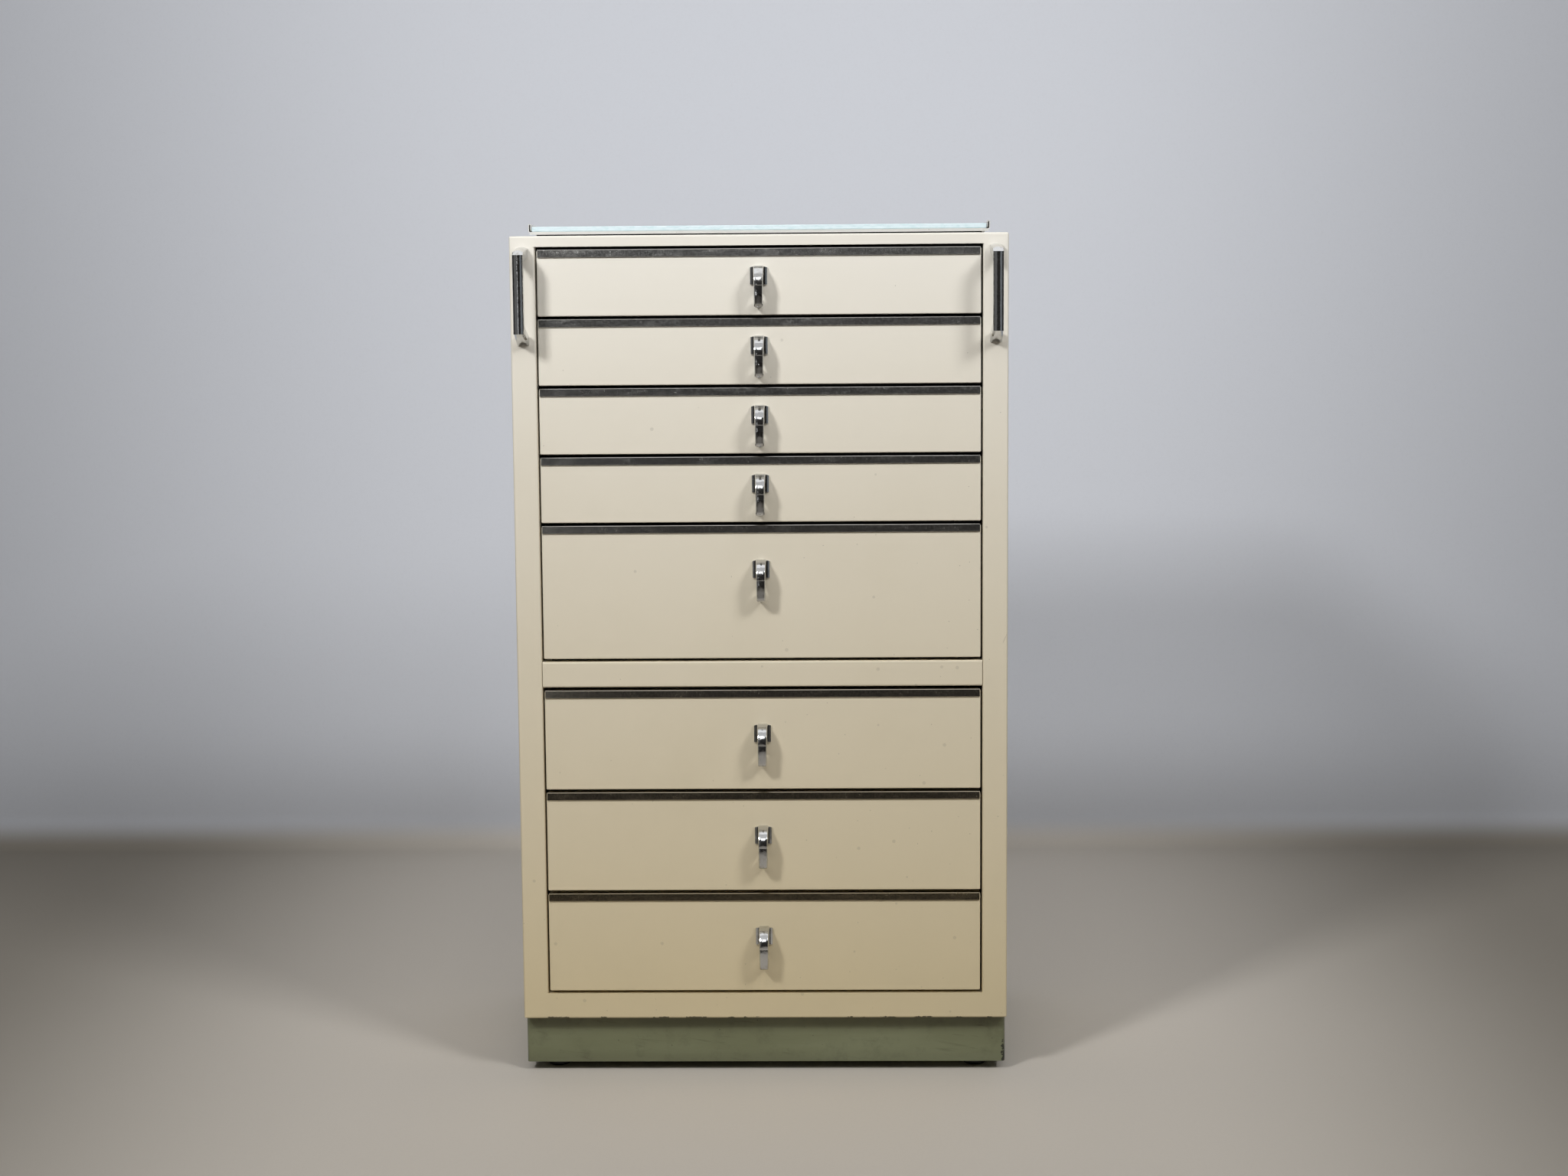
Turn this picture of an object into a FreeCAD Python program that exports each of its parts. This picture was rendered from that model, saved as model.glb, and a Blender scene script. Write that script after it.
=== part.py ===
import FreeCAD, Part
import math
import os

# Dental cabinet of enamelled sheet steel: carcass, eight drawers on channel runners,
# cast chrome pulls and grips, a glass worktop in a hemmed tray and a plinth on glides.
# Millimetres. +Z is up and the front faces -Y. The origin is on the floor, below the
# middle of the whole object.

Vector = FreeCAD.Vector

# Carcass
width = 600.0
depth = 410.0
sheet = 1.2
bend = 2.4
stile = 30.7
top_rail = 13.0
mid_rail = 31.7
bottom_rail = 31.6
return_depth = 16.0
rear_flange = 18.0
joint_gap = 0.4
lug_reach = 10.0

# Drawer fronts
shallow_front = 79.5
deep_front = 163.2
medium_front = 123.2
shallow_count = 4
medium_count = 3
front_gap = 3.7
side_gap = 2.4
front_thickness = 16.0
front_corner = 1.6
front_edge = 1.3
front_flange = 13.0

# Drawer boxes
box_sheet = 1.0
box_bend = 2.0
box_below_top = 12.0
box_above_bottom = 6.0
hook_width = 10.0
hook_height = 8.0
hook_side_gap = 1.3
travel = 290.0
rear_space = 14.0
tongue_reach = 6.5
tongue_height = 5.5
access_width = 12.0

# Runners and their posts
runner_lift = 0.3
runner_headroom = 0.5
runner_side_gap = 0.5
runner_tip_gap = 1.5
runner_setback = 18.5
stop_height = 7.0
stop_gap = 0.5
post_width = 30.0
front_post_setback = 24.0
rear_post_setback = 34.0

# Rubber buffers behind the drawers
buffer_radius = 6.0
buffer_inset = 60.0
buffer_gap = 0.3

# Chrome strip that caps the top edge of each front
trim_height = 9.2
trim_crest = 0.9
trim_lean = 1.1
trim_end_gap = 0.8
trim_bevel = 0.5
trim_end_radius = 0.7
trim_cap = 0.8
trim_hook = 6.0

# Cast pull
pull_height = 50.4
shallow_pull_drop = 20.7
tall_pull_drop = 41.7
hub_width = 20.5
hub_height = 23.5
hub_arch = 1.6
hub_keel = 1.2
hub_plate = 3.0
flank_width = 16.4
hub_reach = 9.0
band_edge = 0.9
nose_width = 12.4
nose_reach = 26.5
nose_drop = 22.0
nose_lip = 1.2
strap_width = 10.3
strap_reach = 25.2
strap_thickness = 4.6
strap_set = 0.9
strap_knee_drop = 32.0
strap_sweep = 58.0
strap_lean = 2.0
strap_bend = 6.0
strap_corner = 1.8
return_leg = 5.0
return_rise = 4.0
crook_radius = 4.0
pull_screw_high = 6.0
pull_screw_low = 16.0

# Cast grip on each stile
grip_below_top = 13.0
grip_height = 118.5
grip_reach = 43.0
bar_width = 12.5
bar_back = 34.0
bar_crown = 3.4
bar_top_drop = 11.0
bar_bottom_drop = 104.5
foot_width = 14.6
foot_height = 13.0
foot_arch = 2.0
foot_bevel = 1.4
foot_notch = 1.8
leg_height = 12.0
leg_bevel = 3.0
knuckle_standoff = 35.0
knuckle_rise = 5.5
grip_screw_inset = 7.8

# Screws of the castings and of the back panel
screw_shank = 1.75
screw_head_radius = 3.5
screw_head = 2.0
screw_clearance = 0.2
pull_bore = 9.0
grip_bore = 10.0
back_screw_length = 8.0
back_screw_rows = 5

# Back panel
back_sheet = 1.0
back_margin = 3.0

# Glass worktop, its tray and pads
tray_setback = 20.0
tray_side_inset = 21.3
tray_gap = 2.4
tray_lip = 3.4
tray_sheet = 1.0
hem_width = 3.7
hem_rise = 3.4
hem_foot_gap = 1.5
tray_bend = 2.0
glass_thickness = 6.0
glass_clearance = 0.3
glass_bevel = 0.9
glass_corner = 2.0
pad_width = 14.0
pad_inset = 9.0

# Plinth and glides
plinth_height = 61.0
plinth_setback = 18.0
plinth_inset = 1.0
plinth_rear_inset = 12.0
plinth_sheet = 1.5
plinth_corner = 4.0
plinth_flange = 24.0
gusset = 95.0
glide_height = 12.0
glide_radius = 16.0
glide_chamfer = 3.0
glide_inset = 36.0
glide_stud_radius = 4.0
glide_stud = 10.0

# Length below which two points count as one
speck = 1e-6

# Levels above the floor
plinth_bottom = glide_height
carcass_bottom = plinth_bottom + plinth_height
lower_bottom = carcass_bottom + bottom_rail
lower_top = lower_bottom + medium_count * medium_front + (medium_count + 1) * front_gap
upper_bottom = lower_top + mid_rail
upper_top = upper_bottom + shallow_count * shallow_front + deep_front + (shallow_count + 2) * front_gap
carcass_top = upper_top + top_rail
tray_floor = carcass_top + tray_gap + tray_lip
glass_top_level = tray_floor + glass_thickness

# Places across and along
half_width = width / 2
half_opening = half_width - stile
half_front = half_opening - side_gap
hook_outside = half_opening - hook_side_gap
half_box = hook_outside - hook_width
runner_inside = hook_outside + runner_side_gap
runner_outside = runner_inside + sheet
stile_middle = half_width - stile / 2
front_y = (grip_reach - depth - back_sheet - screw_head) / 2
back_y = front_y + depth
box_front_y = front_y + front_thickness
box_back_y = back_y - rear_space
runner_front_y = front_y + runner_setback
runner_back_y = back_y - rear_post_setback
grip_top = carcass_top - grip_below_top


def plan(level):
    """Drawing plane seen from above."""
    return lambda u, v: Vector(u, v, level)


def front(standoff):
    """Drawing plane seen from the front, a standoff before the carcass face."""
    return lambda u, v: Vector(u, front_y - standoff, v)


def side(across):
    """Drawing plane seen from the side: standoff before the carcass face, and height."""
    return lambda u, v: Vector(across, front_y - u, v)


def section(along):
    """Drawing plane across the depth."""
    return lambda u, v: Vector(u, along, v)


def rounded_corner(before, corner, after, radius):
    """Start, middle and end of the arc that rounds a corner."""
    first = (before - corner).normalize()
    second = (after - corner).normalize()
    half_angle = first.getAngle(second) / 2
    inward = (first + second).normalize()
    centre = corner + inward * (radius / math.sin(half_angle))
    reach = radius / math.tan(half_angle)
    return corner + first * reach, centre - inward * radius, corner + second * reach


def outline(points, plane):
    """Closed face through points; a third value in a point rounds that corner."""
    corners = [plane(point[0], point[1]) for point in points]
    edges = []
    joints = []
    for index, point in enumerate(points):
        radius = point[2] if len(point) > 2 else 0
        corner = corners[index]
        if radius:
            after = corners[(index + 1) % len(corners)]
            joints.append(rounded_corner(corners[index - 1], corner, after, radius))
        else:
            joints.append((corner, None, corner))
    for index, (start, middle, end) in enumerate(joints):
        if middle:
            edges.append(Part.Arc(start, middle, end).toShape())
        following = joints[(index + 1) % len(joints)][0]
        if end.distanceToPoint(following) > speck:
            edges.append(Part.LineSegment(end, following).toShape())
    return Part.Face(Part.Wire(edges))


def prism(points, plane, reach):
    """Solid made by moving an outline along a vector."""
    return outline(points, plane).extrude(reach)


def mirrored_outline(right_half):
    """Whole outline from the points of its right half, listed from the centre line round."""
    left_half = [(-point[0], *point[1:]) for point in reversed(right_half)]
    return right_half + left_half


def box(low, high):
    """Solid between two opposite corners."""
    size = Vector(*high) - Vector(*low)
    return Part.makeBox(size.x, size.y, size.z, Vector(*low))


def edges_where(shape, test):
    """Edges whose two ends both pass a test."""
    return [edge for edge in shape.Edges if all(test(vertex.Point) for vertex in edge.Vertexes)]


def upright_edges(shape):
    """Straight edges that run along Z."""
    found = []
    for edge in shape.Edges:
        ends = [vertex.Point for vertex in edge.Vertexes]
        if len(ends) == 2 and math.hypot(ends[0].x - ends[1].x, ends[0].y - ends[1].y) < speck:
            found.append(edge)
    return found


def mirrored(shape):
    """Copy on the other side of the middle plane."""
    return shape.mirror(Vector(0, 0, 0), Vector(1, 0, 0))


def rod(start, along, length, radius):
    """Round bar from a point."""
    return Part.makeCylinder(radius, length, start, along)


def screw(seat, along, length):
    """Pan head screw whose head lies on a seat and whose shank points along a vector."""
    head = rod(seat - along * screw_head, along, screw_head, screw_head_radius)
    return head.fuse(rod(seat, along, length, screw_shank))


def screw_hole(seat, along, length):
    """Clearance hole for a screw."""
    return rod(seat, along, length, screw_shank + screw_clearance)


# Carcass

def back_screw_seats():
    """Heads of the screws round the back panel, on its outer face."""
    inset = rear_flange / 2
    outer = back_y + back_sheet
    low = lower_bottom + rear_flange
    pitch = (upper_top - rear_flange - low) / (back_screw_rows - 1)
    across = half_width - inset
    seats = [Vector(sign * across, outer, low + row * pitch)
             for sign in (-1, 1) for row in range(back_screw_rows)]
    seats.append(Vector(0, outer, carcass_top - top_rail / 2))
    seats.append(Vector(0, outer, carcass_bottom + bottom_rail / 2))
    return seats


def drilled_for_back(shape):
    """Shape with the holes of the back panel's screws that meet it."""
    inwards = Vector(0, -1, 0)
    for seat in back_screw_seats():
        shape = shape.cut(screw_hole(seat, inwards, back_screw_length))
    return shape


def grip_screw_seats():
    """Inner face of the stiles, behind each foot of the two grips."""
    levels = (grip_top - grip_screw_inset, grip_top - grip_height + grip_screw_inset)
    return [Vector(sign * stile_middle, front_y + sheet, level)
            for sign in (-1, 1) for level in levels]


def side_panel():
    """Right side: wall, front stile with its return, and rear flange, from one sheet."""
    wall = half_width
    inner = half_width - sheet
    lip = half_opening
    face = front_y
    fold = bend - sheet
    points = [
        (lip, face + return_depth), (lip, face, bend), (wall, face, bend), (wall, back_y, bend),
        (wall - rear_flange, back_y), (wall - rear_flange, back_y - sheet),
        (inner, back_y - sheet, fold), (inner, face + sheet, fold),
        (lip + sheet, face + sheet, fold), (lip + sheet, face + return_depth),
    ]
    panel = prism(points, plan(lower_bottom), Vector(0, 0, upper_top - lower_bottom))
    for seat in grip_screw_seats():
        panel = panel.cut(screw_hole(seat, Vector(0, -1, 0), sheet))
    return drilled_for_back(panel)


def shallow_pan(bottom, top):
    """Square pan of carcass sheet over the full plan, with its closed face at the top level."""
    outer = box((-half_width, front_y, bottom), (half_width, back_y, top))
    closed = edges_where(outer, lambda point: abs(point.z - top) < speck)
    outer = outer.makeFillet(bend, upright_edges(outer) + closed)
    inner = box((-half_width + sheet, front_y + sheet, min(bottom, top - sheet)),
                (half_width - sheet, back_y - sheet, top - sheet))
    inner = inner.makeFillet(bend - sheet, upright_edges(inner))
    return outer.cut(inner)


def soffit(level):
    """Flange that runs back from a rail along the edge of an opening."""
    return box((-half_width + sheet, front_y + sheet, level),
               (half_width - sheet, front_y + return_depth, level + sheet))


def top_panel():
    """Cap with an apron all round; its front apron is the top rail."""
    cap = shallow_pan(upper_top, carcass_top).fuse(soffit(upper_top))
    return drilled_for_back(cap.removeSplitter())


def base_panel():
    """Pan that closes the carcass below; its front apron is the bottom rail."""
    pan = shallow_pan(carcass_bottom, lower_bottom)
    middle = (carcass_bottom + lower_bottom) / 2
    pan = pan.mirror(Vector(0, 0, middle), Vector(0, 0, 1))
    pan = pan.fuse(soffit(lower_bottom - sheet))
    return drilled_for_back(pan.removeSplitter())


def middle_rail():
    """Channel between the stiles, with end lugs that bear on the stiles' returns."""
    fold = bend - sheet
    low, high = lower_top, upper_bottom
    points = [
        (-return_depth, low), (0, low, bend), (0, high, bend), (-return_depth, high),
        (-return_depth, high - sheet), (-sheet, high - sheet, fold),
        (-sheet, low + sheet, fold), (-return_depth, low + sheet),
    ]
    half_length = half_opening - joint_gap
    rail = prism(points, side(-half_length), Vector(2 * half_length, 0, 0))
    lug_y = front_y + return_depth
    for sign in (-1, 1):
        ends = sorted((sign * (half_opening - lug_reach), sign * (half_opening + lug_reach)))
        rail = rail.fuse(box((ends[0], lug_y, low), (ends[1], lug_y + sheet, high)))
    return rail.removeSplitter()


def back_panel():
    """Flat sheet on the rear flanges."""
    across = half_width - back_margin
    panel = box((-across, back_y, carcass_bottom + back_margin),
                (across, back_y + back_sheet, carcass_top - back_margin))
    panel = panel.makeFillet(back_margin, [edge for edge in panel.Edges
                                           if abs(edge.Length - back_sheet) < speck])
    return drilled_for_back(panel)


def back_screws():
    """Screws of the back panel."""
    return [screw(seat, Vector(0, -1, 0), back_screw_length) for seat in back_screw_seats()]


# Plinth and glides

def plinth_corners():
    """Lowest and highest plan corner of the plinth ring."""
    across = half_width - plinth_inset
    return (-across, front_y + plinth_setback), (across, back_y - plinth_rear_inset)


def rounded_plan(low, high, inset, radius):
    """Points of a rectangle in plan, drawn in by an inset, with rounded corners."""
    return [(low[0] + inset, low[1] + inset, radius), (high[0] - inset, low[1] + inset, radius),
            (high[0] - inset, high[1] - inset, radius), (low[0] + inset, high[1] - inset, radius)]


def glide_centres():
    """Plan places of the four glides."""
    low, high = plinth_corners()
    return [(x, y) for x in (low[0] + glide_inset, high[0] - glide_inset)
            for y in (low[1] + glide_inset, high[1] - glide_inset)]


def plinth():
    """Ring of folded sheet with flanges above and below and a gusset in each lower corner."""
    low, high = plinth_corners()
    up = Vector(0, 0, plinth_height)
    inner_corner = plinth_corner - plinth_sheet
    ring = prism(rounded_plan(low, high, 0, plinth_corner), plan(plinth_bottom), up)
    hollow = prism(rounded_plan(low, high, plinth_sheet, inner_corner),
                   plan(plinth_bottom + plinth_sheet), up - Vector(0, 0, 2 * plinth_sheet))
    inside = plinth_sheet + plinth_flange
    top_hole = prism(rounded_plan(low, high, inside, inner_corner),
                     plan(plinth_bottom + plinth_sheet), up)
    cut = gusset - inside
    left, near = low[0] + inside, low[1] + inside
    right, far = high[0] - inside, high[1] - inside
    octagon = [(left + cut, near), (right - cut, near), (right, near + cut), (right, far - cut),
               (right - cut, far), (left + cut, far), (left, far - cut), (left, near + cut)]
    floor_hole = prism(octagon, plan(plinth_bottom - plinth_sheet), Vector(0, 0, 3 * plinth_sheet))
    ring = ring.cut(hollow).cut(top_hole).cut(floor_hole)
    for x, y in glide_centres():
        stud_hole = glide_stud_radius + screw_clearance
        ring = ring.cut(rod(Vector(x, y, plinth_bottom), Vector(0, 0, 1), plinth_sheet, stud_hole))
    return ring


def floor_glides():
    """Round feet, each with a stud through its gusset."""
    glides = []
    for x, y in glide_centres():
        foot = rod(Vector(x, y, 0), Vector(0, 0, 1), glide_height, glide_radius)
        lower_rim = [edge for edge in foot.Edges if edge.BoundBox.ZMax < speck]
        foot = foot.makeChamfer(glide_chamfer, lower_rim)
        stud = rod(Vector(x, y, glide_height), Vector(0, 0, 1), glide_stud, glide_stud_radius)
        glides.append(foot.fuse(stud).removeSplitter())
    return glides


# Drawers

def drawer_stack():
    """Lower edge, height and pull drop of each front, from the top drawer down."""
    upper = [(shallow_front, shallow_pull_drop)] * shallow_count + [(deep_front, tall_pull_drop)]
    lower = [(medium_front, tall_pull_drop)] * medium_count
    stack = []
    for edge, fronts in ((upper_top, upper), (lower_top, lower)):
        for height, drop in fronts:
            edge -= front_gap + height
            stack.append((edge, height, drop))
    return stack


def pull_screw_seats(pull_top):
    """Inner face of a front, behind the hub of its pull."""
    return [Vector(0, front_y + sheet, pull_top - drop) for drop in (pull_screw_high, pull_screw_low)]


def drawer_front(low, height, pull_top):
    """Folded pan with a flange all round its open back, lower than the whole front by its capping strip."""
    high = low + height - trim_cap
    pan = box((-half_front, front_y, low), (half_front, box_front_y, high))
    pan = pan.makeFillet(front_corner, [edge for edge in pan.Edges
                                        if abs(edge.Length - front_thickness) < speck])
    face_edges = edges_where(pan, lambda point: abs(point.y - front_y) < speck)
    pan = pan.makeFillet(front_edge, face_edges)
    hollow = box((-half_front + sheet, front_y + sheet, low + sheet),
                 (half_front - sheet, box_front_y - sheet, high - sheet))
    inside = sheet + front_flange
    mouth = box((-half_front + inside, front_y + sheet, low + inside),
                (half_front - inside, box_front_y, high - inside))
    pan = pan.cut(hollow).cut(mouth)
    for seat in pull_screw_seats(pull_top):
        pan = pan.cut(screw_hole(seat, Vector(0, -1, 0), sheet))
    return pan


def box_levels(low, height):
    """Lower and upper level of a drawer box behind its front."""
    return low + box_above_bottom, low + height - box_below_top


def drawer_box(low, height, pull_top):
    """Folded box whose side flanges hook into the runners, with a stop tongue on each side."""
    floor, rim = box_levels(low, height)
    outside, inside = half_box, half_box - box_sheet
    fold = box_bend - box_sheet
    right_half = [
        (inside, floor + box_sheet, fold), (inside, rim), (hook_outside, rim, box_bend),
        (hook_outside, rim - hook_height), (hook_outside - box_sheet, rim - hook_height),
        (hook_outside - box_sheet, rim - box_sheet, fold), (outside, rim - box_sheet),
        (outside, floor, box_bend),
    ]
    length = box_back_y - box_front_y
    body = prism(mirrored_outline(right_half), section(box_front_y), Vector(0, length, 0))
    wall = [(-outside, floor, box_bend), (outside, floor, box_bend), (outside, rim), (-outside, rim)]
    for y in (box_front_y, box_back_y - box_sheet):
        body = body.fuse(prism(wall, section(y), Vector(0, box_sheet, 0)))
    tongue_y = runner_front_y + sheet + travel + stop_gap
    tongue_top = rim - hook_height - runner_lift - sheet - (stop_height - tongue_height)
    for sign in (-1, 1):
        ends = sorted((sign * (outside - box_sheet / 2), sign * (outside + tongue_reach)))
        body = body.fuse(box((ends[0], tongue_y, tongue_top - tongue_height),
                             (ends[1], tongue_y + box_sheet, tongue_top)))
    return body.removeSplitter().cut(access_slot(pull_top))


def access_slot(pull_top):
    """Rounded slot in the box's front wall, through which the pull's screws are reached."""
    reach = access_width / 2
    high = pull_top - pull_screw_high + reach
    low = pull_top - pull_screw_low - reach
    points = [(-reach, low, reach), (reach, low, reach), (reach, high, reach), (-reach, high, reach)]
    return prism(points, section(box_front_y), Vector(0, box_sheet, 0))


def drawer_trim(low, height):
    """Chrome strip hooked over the upper edge of a front, with a leaning face and rounded ends."""
    high = low + height
    half_length = half_front - trim_end_gap
    points = [(0, high - trim_height), (trim_crest + trim_lean, high - trim_height, trim_bevel / 2),
              (trim_crest, high - trim_bevel), (trim_crest - trim_bevel, high), (-trim_hook, high),
              (-trim_hook, high - trim_cap), (0, high - trim_cap)]
    strip = prism(points, side(-half_length), Vector(2 * half_length, 0, 0))
    ends = [edge for edge in strip.Edges if abs(edge.BoundBox.XLength) < speck
            and edge.BoundBox.YMax < front_y - trim_crest + speck and edge.BoundBox.ZLength > trim_bevel]
    return strip.makeFillet(trim_end_radius, ends)


def loft(wires):
    """Solid with straight rulings through a row of wires."""
    return Part.makeLoft(wires, True, True)


def crowned(plane, half, top, arch, lower):
    """Wire with straight sides through lower points and an arched top."""
    crown = Part.Arc(plane(half, top - arch), plane(0, top), plane(-half, top - arch)).toShape()
    corners = [plane(-half, top - arch), *(plane(*point) for point in lower), plane(half, top - arch)]
    sides = [Part.LineSegment(*pair).toShape() for pair in zip(corners, corners[1:])]
    return Part.Wire([crown] + sides)


def shield(standoff, half, top, arch, tip_height, tip):
    """Section parallel to the front: arched top, straight sides and a pointed bottom."""
    shoulder = tip + tip_height
    return crowned(front(standoff), half, top, arch, [(-half, shoulder), (0, tip), (half, shoulder)])


def pull_hub(top):
    """Base plate that seats on the front, with flanks that rise from it to the band."""
    crown, tip = top - band_edge / 2, top - hub_height
    rise = hub_arch / 2
    plate = loft([shield(level, hub_width / 2, crown, hub_arch, hub_keel, tip) for level in (0, hub_plate)])
    flanks = loft([
        shield(hub_plate, flank_width / 2, crown, hub_arch, hub_keel, tip),
        shield(hub_reach, strap_width / 2 - band_edge, crown - rise, rise, rise, tip + rise),
    ])
    return plate.fuse(flanks)


def pull_window(top):
    """Finger opening between the front and the strap, as standoff and height limits."""
    reach = strap_reach - strap_lean - strap_thickness
    return reach, top - pull_height + return_leg, top - hub_height - nose_lip


def pull_band(top):
    """Central band, narrowing from a quarter-round nose to the strap, with the finger opening cut out."""
    low = top - pull_height
    reach, sill, head = pull_window(top)
    profile = [
        (0, top), (nose_reach, top, nose_drop), (nose_reach, top - nose_drop - nose_lip),
        (strap_reach - strap_set, top - nose_drop - 2 * nose_lip),
        (strap_reach, top - strap_knee_drop, strap_sweep),
        (strap_reach - strap_lean, low, strap_bend), (reach - crook_radius, low), (0, low + return_rise),
    ]
    broad, narrow = nose_width / 2, strap_width / 2
    across = Vector(nose_width, 0, 0)
    face = mirrored_outline([(broad, top), (narrow, low + strap_corner), (narrow - strap_corner, low)])
    band = prism(profile, side(-broad), across).common(prism(face, front(0), Vector(0, -nose_reach, 0)))
    foremost = front_y - strap_reach + band_edge
    rims = [edge for edge in band.Edges if edge.BoundBox.YMin < foremost
            and edge.BoundBox.XMin * edge.BoundBox.XMax > 0]
    band = band.makeChamfer(band_edge, rims)
    window = [(0, sill + return_rise), (reach, sill, crook_radius), (reach, head, crook_radius), (0, head)]
    return band.cut(prism(window, side(-broad), across))


def drawer_pull(top):
    """Cast pull: hub and band in one piece, bored for its screws."""
    casting = pull_hub(top).fuse(pull_band(top)).removeSplitter()
    for seat in pull_screw_seats(top):
        casting = casting.cut(screw_hole(seat - Vector(0, sheet, 0), Vector(0, -1, 0), pull_bore))
    return casting


def pull_screws(top):
    """Screws of one pull, with their heads inside the front."""
    length = sheet + pull_bore - screw_head
    return [screw(seat, Vector(0, -1, 0), length) for seat in pull_screw_seats(top)]


# Runners, posts and buffers

def runner_posts():
    """Right-hand pair of upright channels between the side wall and the runners."""
    wall = half_width - sheet
    web = runner_outside + sheet
    floor = carcass_bottom + sheet
    posts = []
    for y in (front_y + front_post_setback, back_y - rear_post_setback - post_width):
        points = [(wall, y), (runner_outside, y), (runner_outside, y + post_width), (wall, y + post_width),
                  (wall, y + post_width - sheet), (web, y + post_width - sheet), (web, y + sheet),
                  (wall, y + sheet)]
        posts.append(prism(points, plan(floor), Vector(0, 0, carcass_top - sheet - floor)))
    return posts


def runner(rim):
    """Right-hand channel for a hook whose upper face is at a rim level, with a stop at its front."""
    tip = half_box + runner_tip_gap
    seat = rim - hook_height - runner_lift
    roof = rim + runner_headroom
    points = [(tip, seat - sheet), (runner_outside, seat - sheet), (runner_outside, roof + sheet),
              (tip, roof + sheet), (tip, roof), (runner_inside, roof), (runner_inside, seat), (tip, seat)]
    length = runner_back_y - runner_front_y
    channel = prism(points, section(runner_front_y), Vector(0, length, 0))
    stop = box((tip, runner_front_y, seat - sheet - stop_height),
               (runner_outside, runner_front_y + sheet, seat - sheet))
    return channel.fuse(stop).removeSplitter()


def runners():
    """Right-hand runners of all drawers."""
    return [runner(box_levels(low, height)[1]) for low, height, _ in drawer_stack()]


def drawer_buffers():
    """Rubber buffers on the back panel, two behind each drawer box."""
    buffers = []
    for low, height, _ in drawer_stack():
        level = sum(box_levels(low, height)) / 2
        for sign in (-1, 1):
            start = Vector(sign * (half_box - buffer_inset), back_y, level)
            buffers.append(rod(start, Vector(0, -1, 0), rear_space - buffer_gap, buffer_radius))
    return buffers


# Grips

def leg_section(standoff, half, top, bottom, bevel, notch):
    """Section of a leg parallel to the front: arched top, bevelled lower corners, notched bottom."""
    lower = [(-half, bottom + bevel), (bevel - half, bottom), (0, bottom + notch),
             (half - bevel, bottom), (half, bottom + bevel)]
    return crowned(front(standoff), half, top, foot_arch, lower)


def grip_legs():
    """Legs of the right-hand grip, which flare from the bar to their feet on the stile."""
    face = grip_reach - bar_crown
    foot, bar = foot_width / 2, bar_width / 2
    low = grip_top - grip_height
    bar_top, bar_bottom = grip_top - bar_top_drop, grip_top - bar_bottom_drop
    upper = [
        leg_section(0, foot, grip_top, grip_top - foot_height, foot_bevel, foot_notch),
        leg_section(knuckle_standoff, bar, bar_top + knuckle_rise, bar_top - leg_height, leg_bevel, 0),
        leg_section(face, bar, bar_top, bar_top - leg_height, leg_bevel, 0),
    ]
    lower = [
        leg_section(0, foot, low + foot_height, low, foot_bevel, foot_notch),
        leg_section(face, bar, bar_bottom + leg_height, bar_bottom, leg_bevel, 0),
    ]
    return [loft(wires).translated(Vector(stile_middle, 0, 0)) for wires in (upper, lower)]


def grip_bar(bottom, top):
    """Upright bar with a crowned face."""
    def plane(u, v):
        return Vector(stile_middle + u, front_y - v, bottom)

    half = bar_width / 2
    wire = crowned(plane, half, grip_reach, bar_crown, [(-half, bar_back), (half, bar_back)])
    return Part.Face(wire).extrude(Vector(0, 0, top - bottom))


def grip():
    """Right-hand grip: crowned bar on two flared legs, bored for its screws."""
    bar = grip_bar(grip_top - bar_bottom_drop, grip_top - bar_top_drop)
    casting = bar.fuse(grip_legs()).removeSplitter()
    for seat in grip_screw_seats():
        casting = casting.cut(screw_hole(seat - Vector(0, sheet, 0), Vector(0, -1, 0), grip_bore))
    return casting


def grip_screws():
    """Screws of both grips, with their heads behind the stiles."""
    length = sheet + grip_bore - screw_head
    return [screw(seat, Vector(0, -1, 0), length) for seat in grip_screw_seats()]


# Glass worktop

def tray_span():
    """Half width of the tray over its hems, and its front and back."""
    return half_width - tray_side_inset, front_y + tray_setback, back_y - tray_setback


def glass_tray():
    """Sheet tray: upturned sides hemmed inwards, and front and rear edges turned down."""
    outside, near, far = tray_span()
    inside = outside - hem_width
    top = glass_top_level + hem_rise
    seat = tray_floor
    under = tray_floor - tray_sheet
    wall = outside - tray_sheet
    leg = inside + tray_sheet
    foot = seat + hem_foot_gap
    curl = hem_width / 2
    right_half = [
        (wall, seat, tray_bend - tray_sheet), (wall, top - tray_sheet, tray_sheet / 2),
        (leg, top - tray_sheet, tray_sheet / 2), (leg, foot), (inside, foot), (inside, top, curl),
        (outside, top, curl), (outside, under, tray_bend),
    ]
    tray = prism(mirrored_outline(right_half), section(near), Vector(0, far - near, 0))
    reach = outside - tray_bend
    for y in (near, far - tray_sheet):
        lip = box((-reach, y, carcass_top + tray_gap), (reach, y + tray_sheet, seat))
        tray = tray.fuse(lip)
    return tray.removeSplitter()


def glass_top():
    """Glass plate with ground edges, loose in its tray."""
    outside, near, far = tray_span()
    across = outside - hem_width - glass_clearance
    points = rounded_plan((-across, near), (across, far), 0, glass_corner)
    plate = prism(points, plan(tray_floor), Vector(0, 0, glass_thickness))
    rims = [edge for edge in plate.Edges if edge.BoundBox.ZLength < speck]
    return plate.makeChamfer(glass_bevel, rims)


def tray_pads():
    """Rubber strips between the carcass top and the tray, along its front and its rear."""
    outside, near, far = tray_span()
    reach = outside - pad_inset
    top = tray_floor - tray_sheet
    return [box((-reach, y, carcass_top), (reach, y + pad_width, top))
            for y in (near + pad_inset, far - pad_inset - pad_width)]


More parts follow.
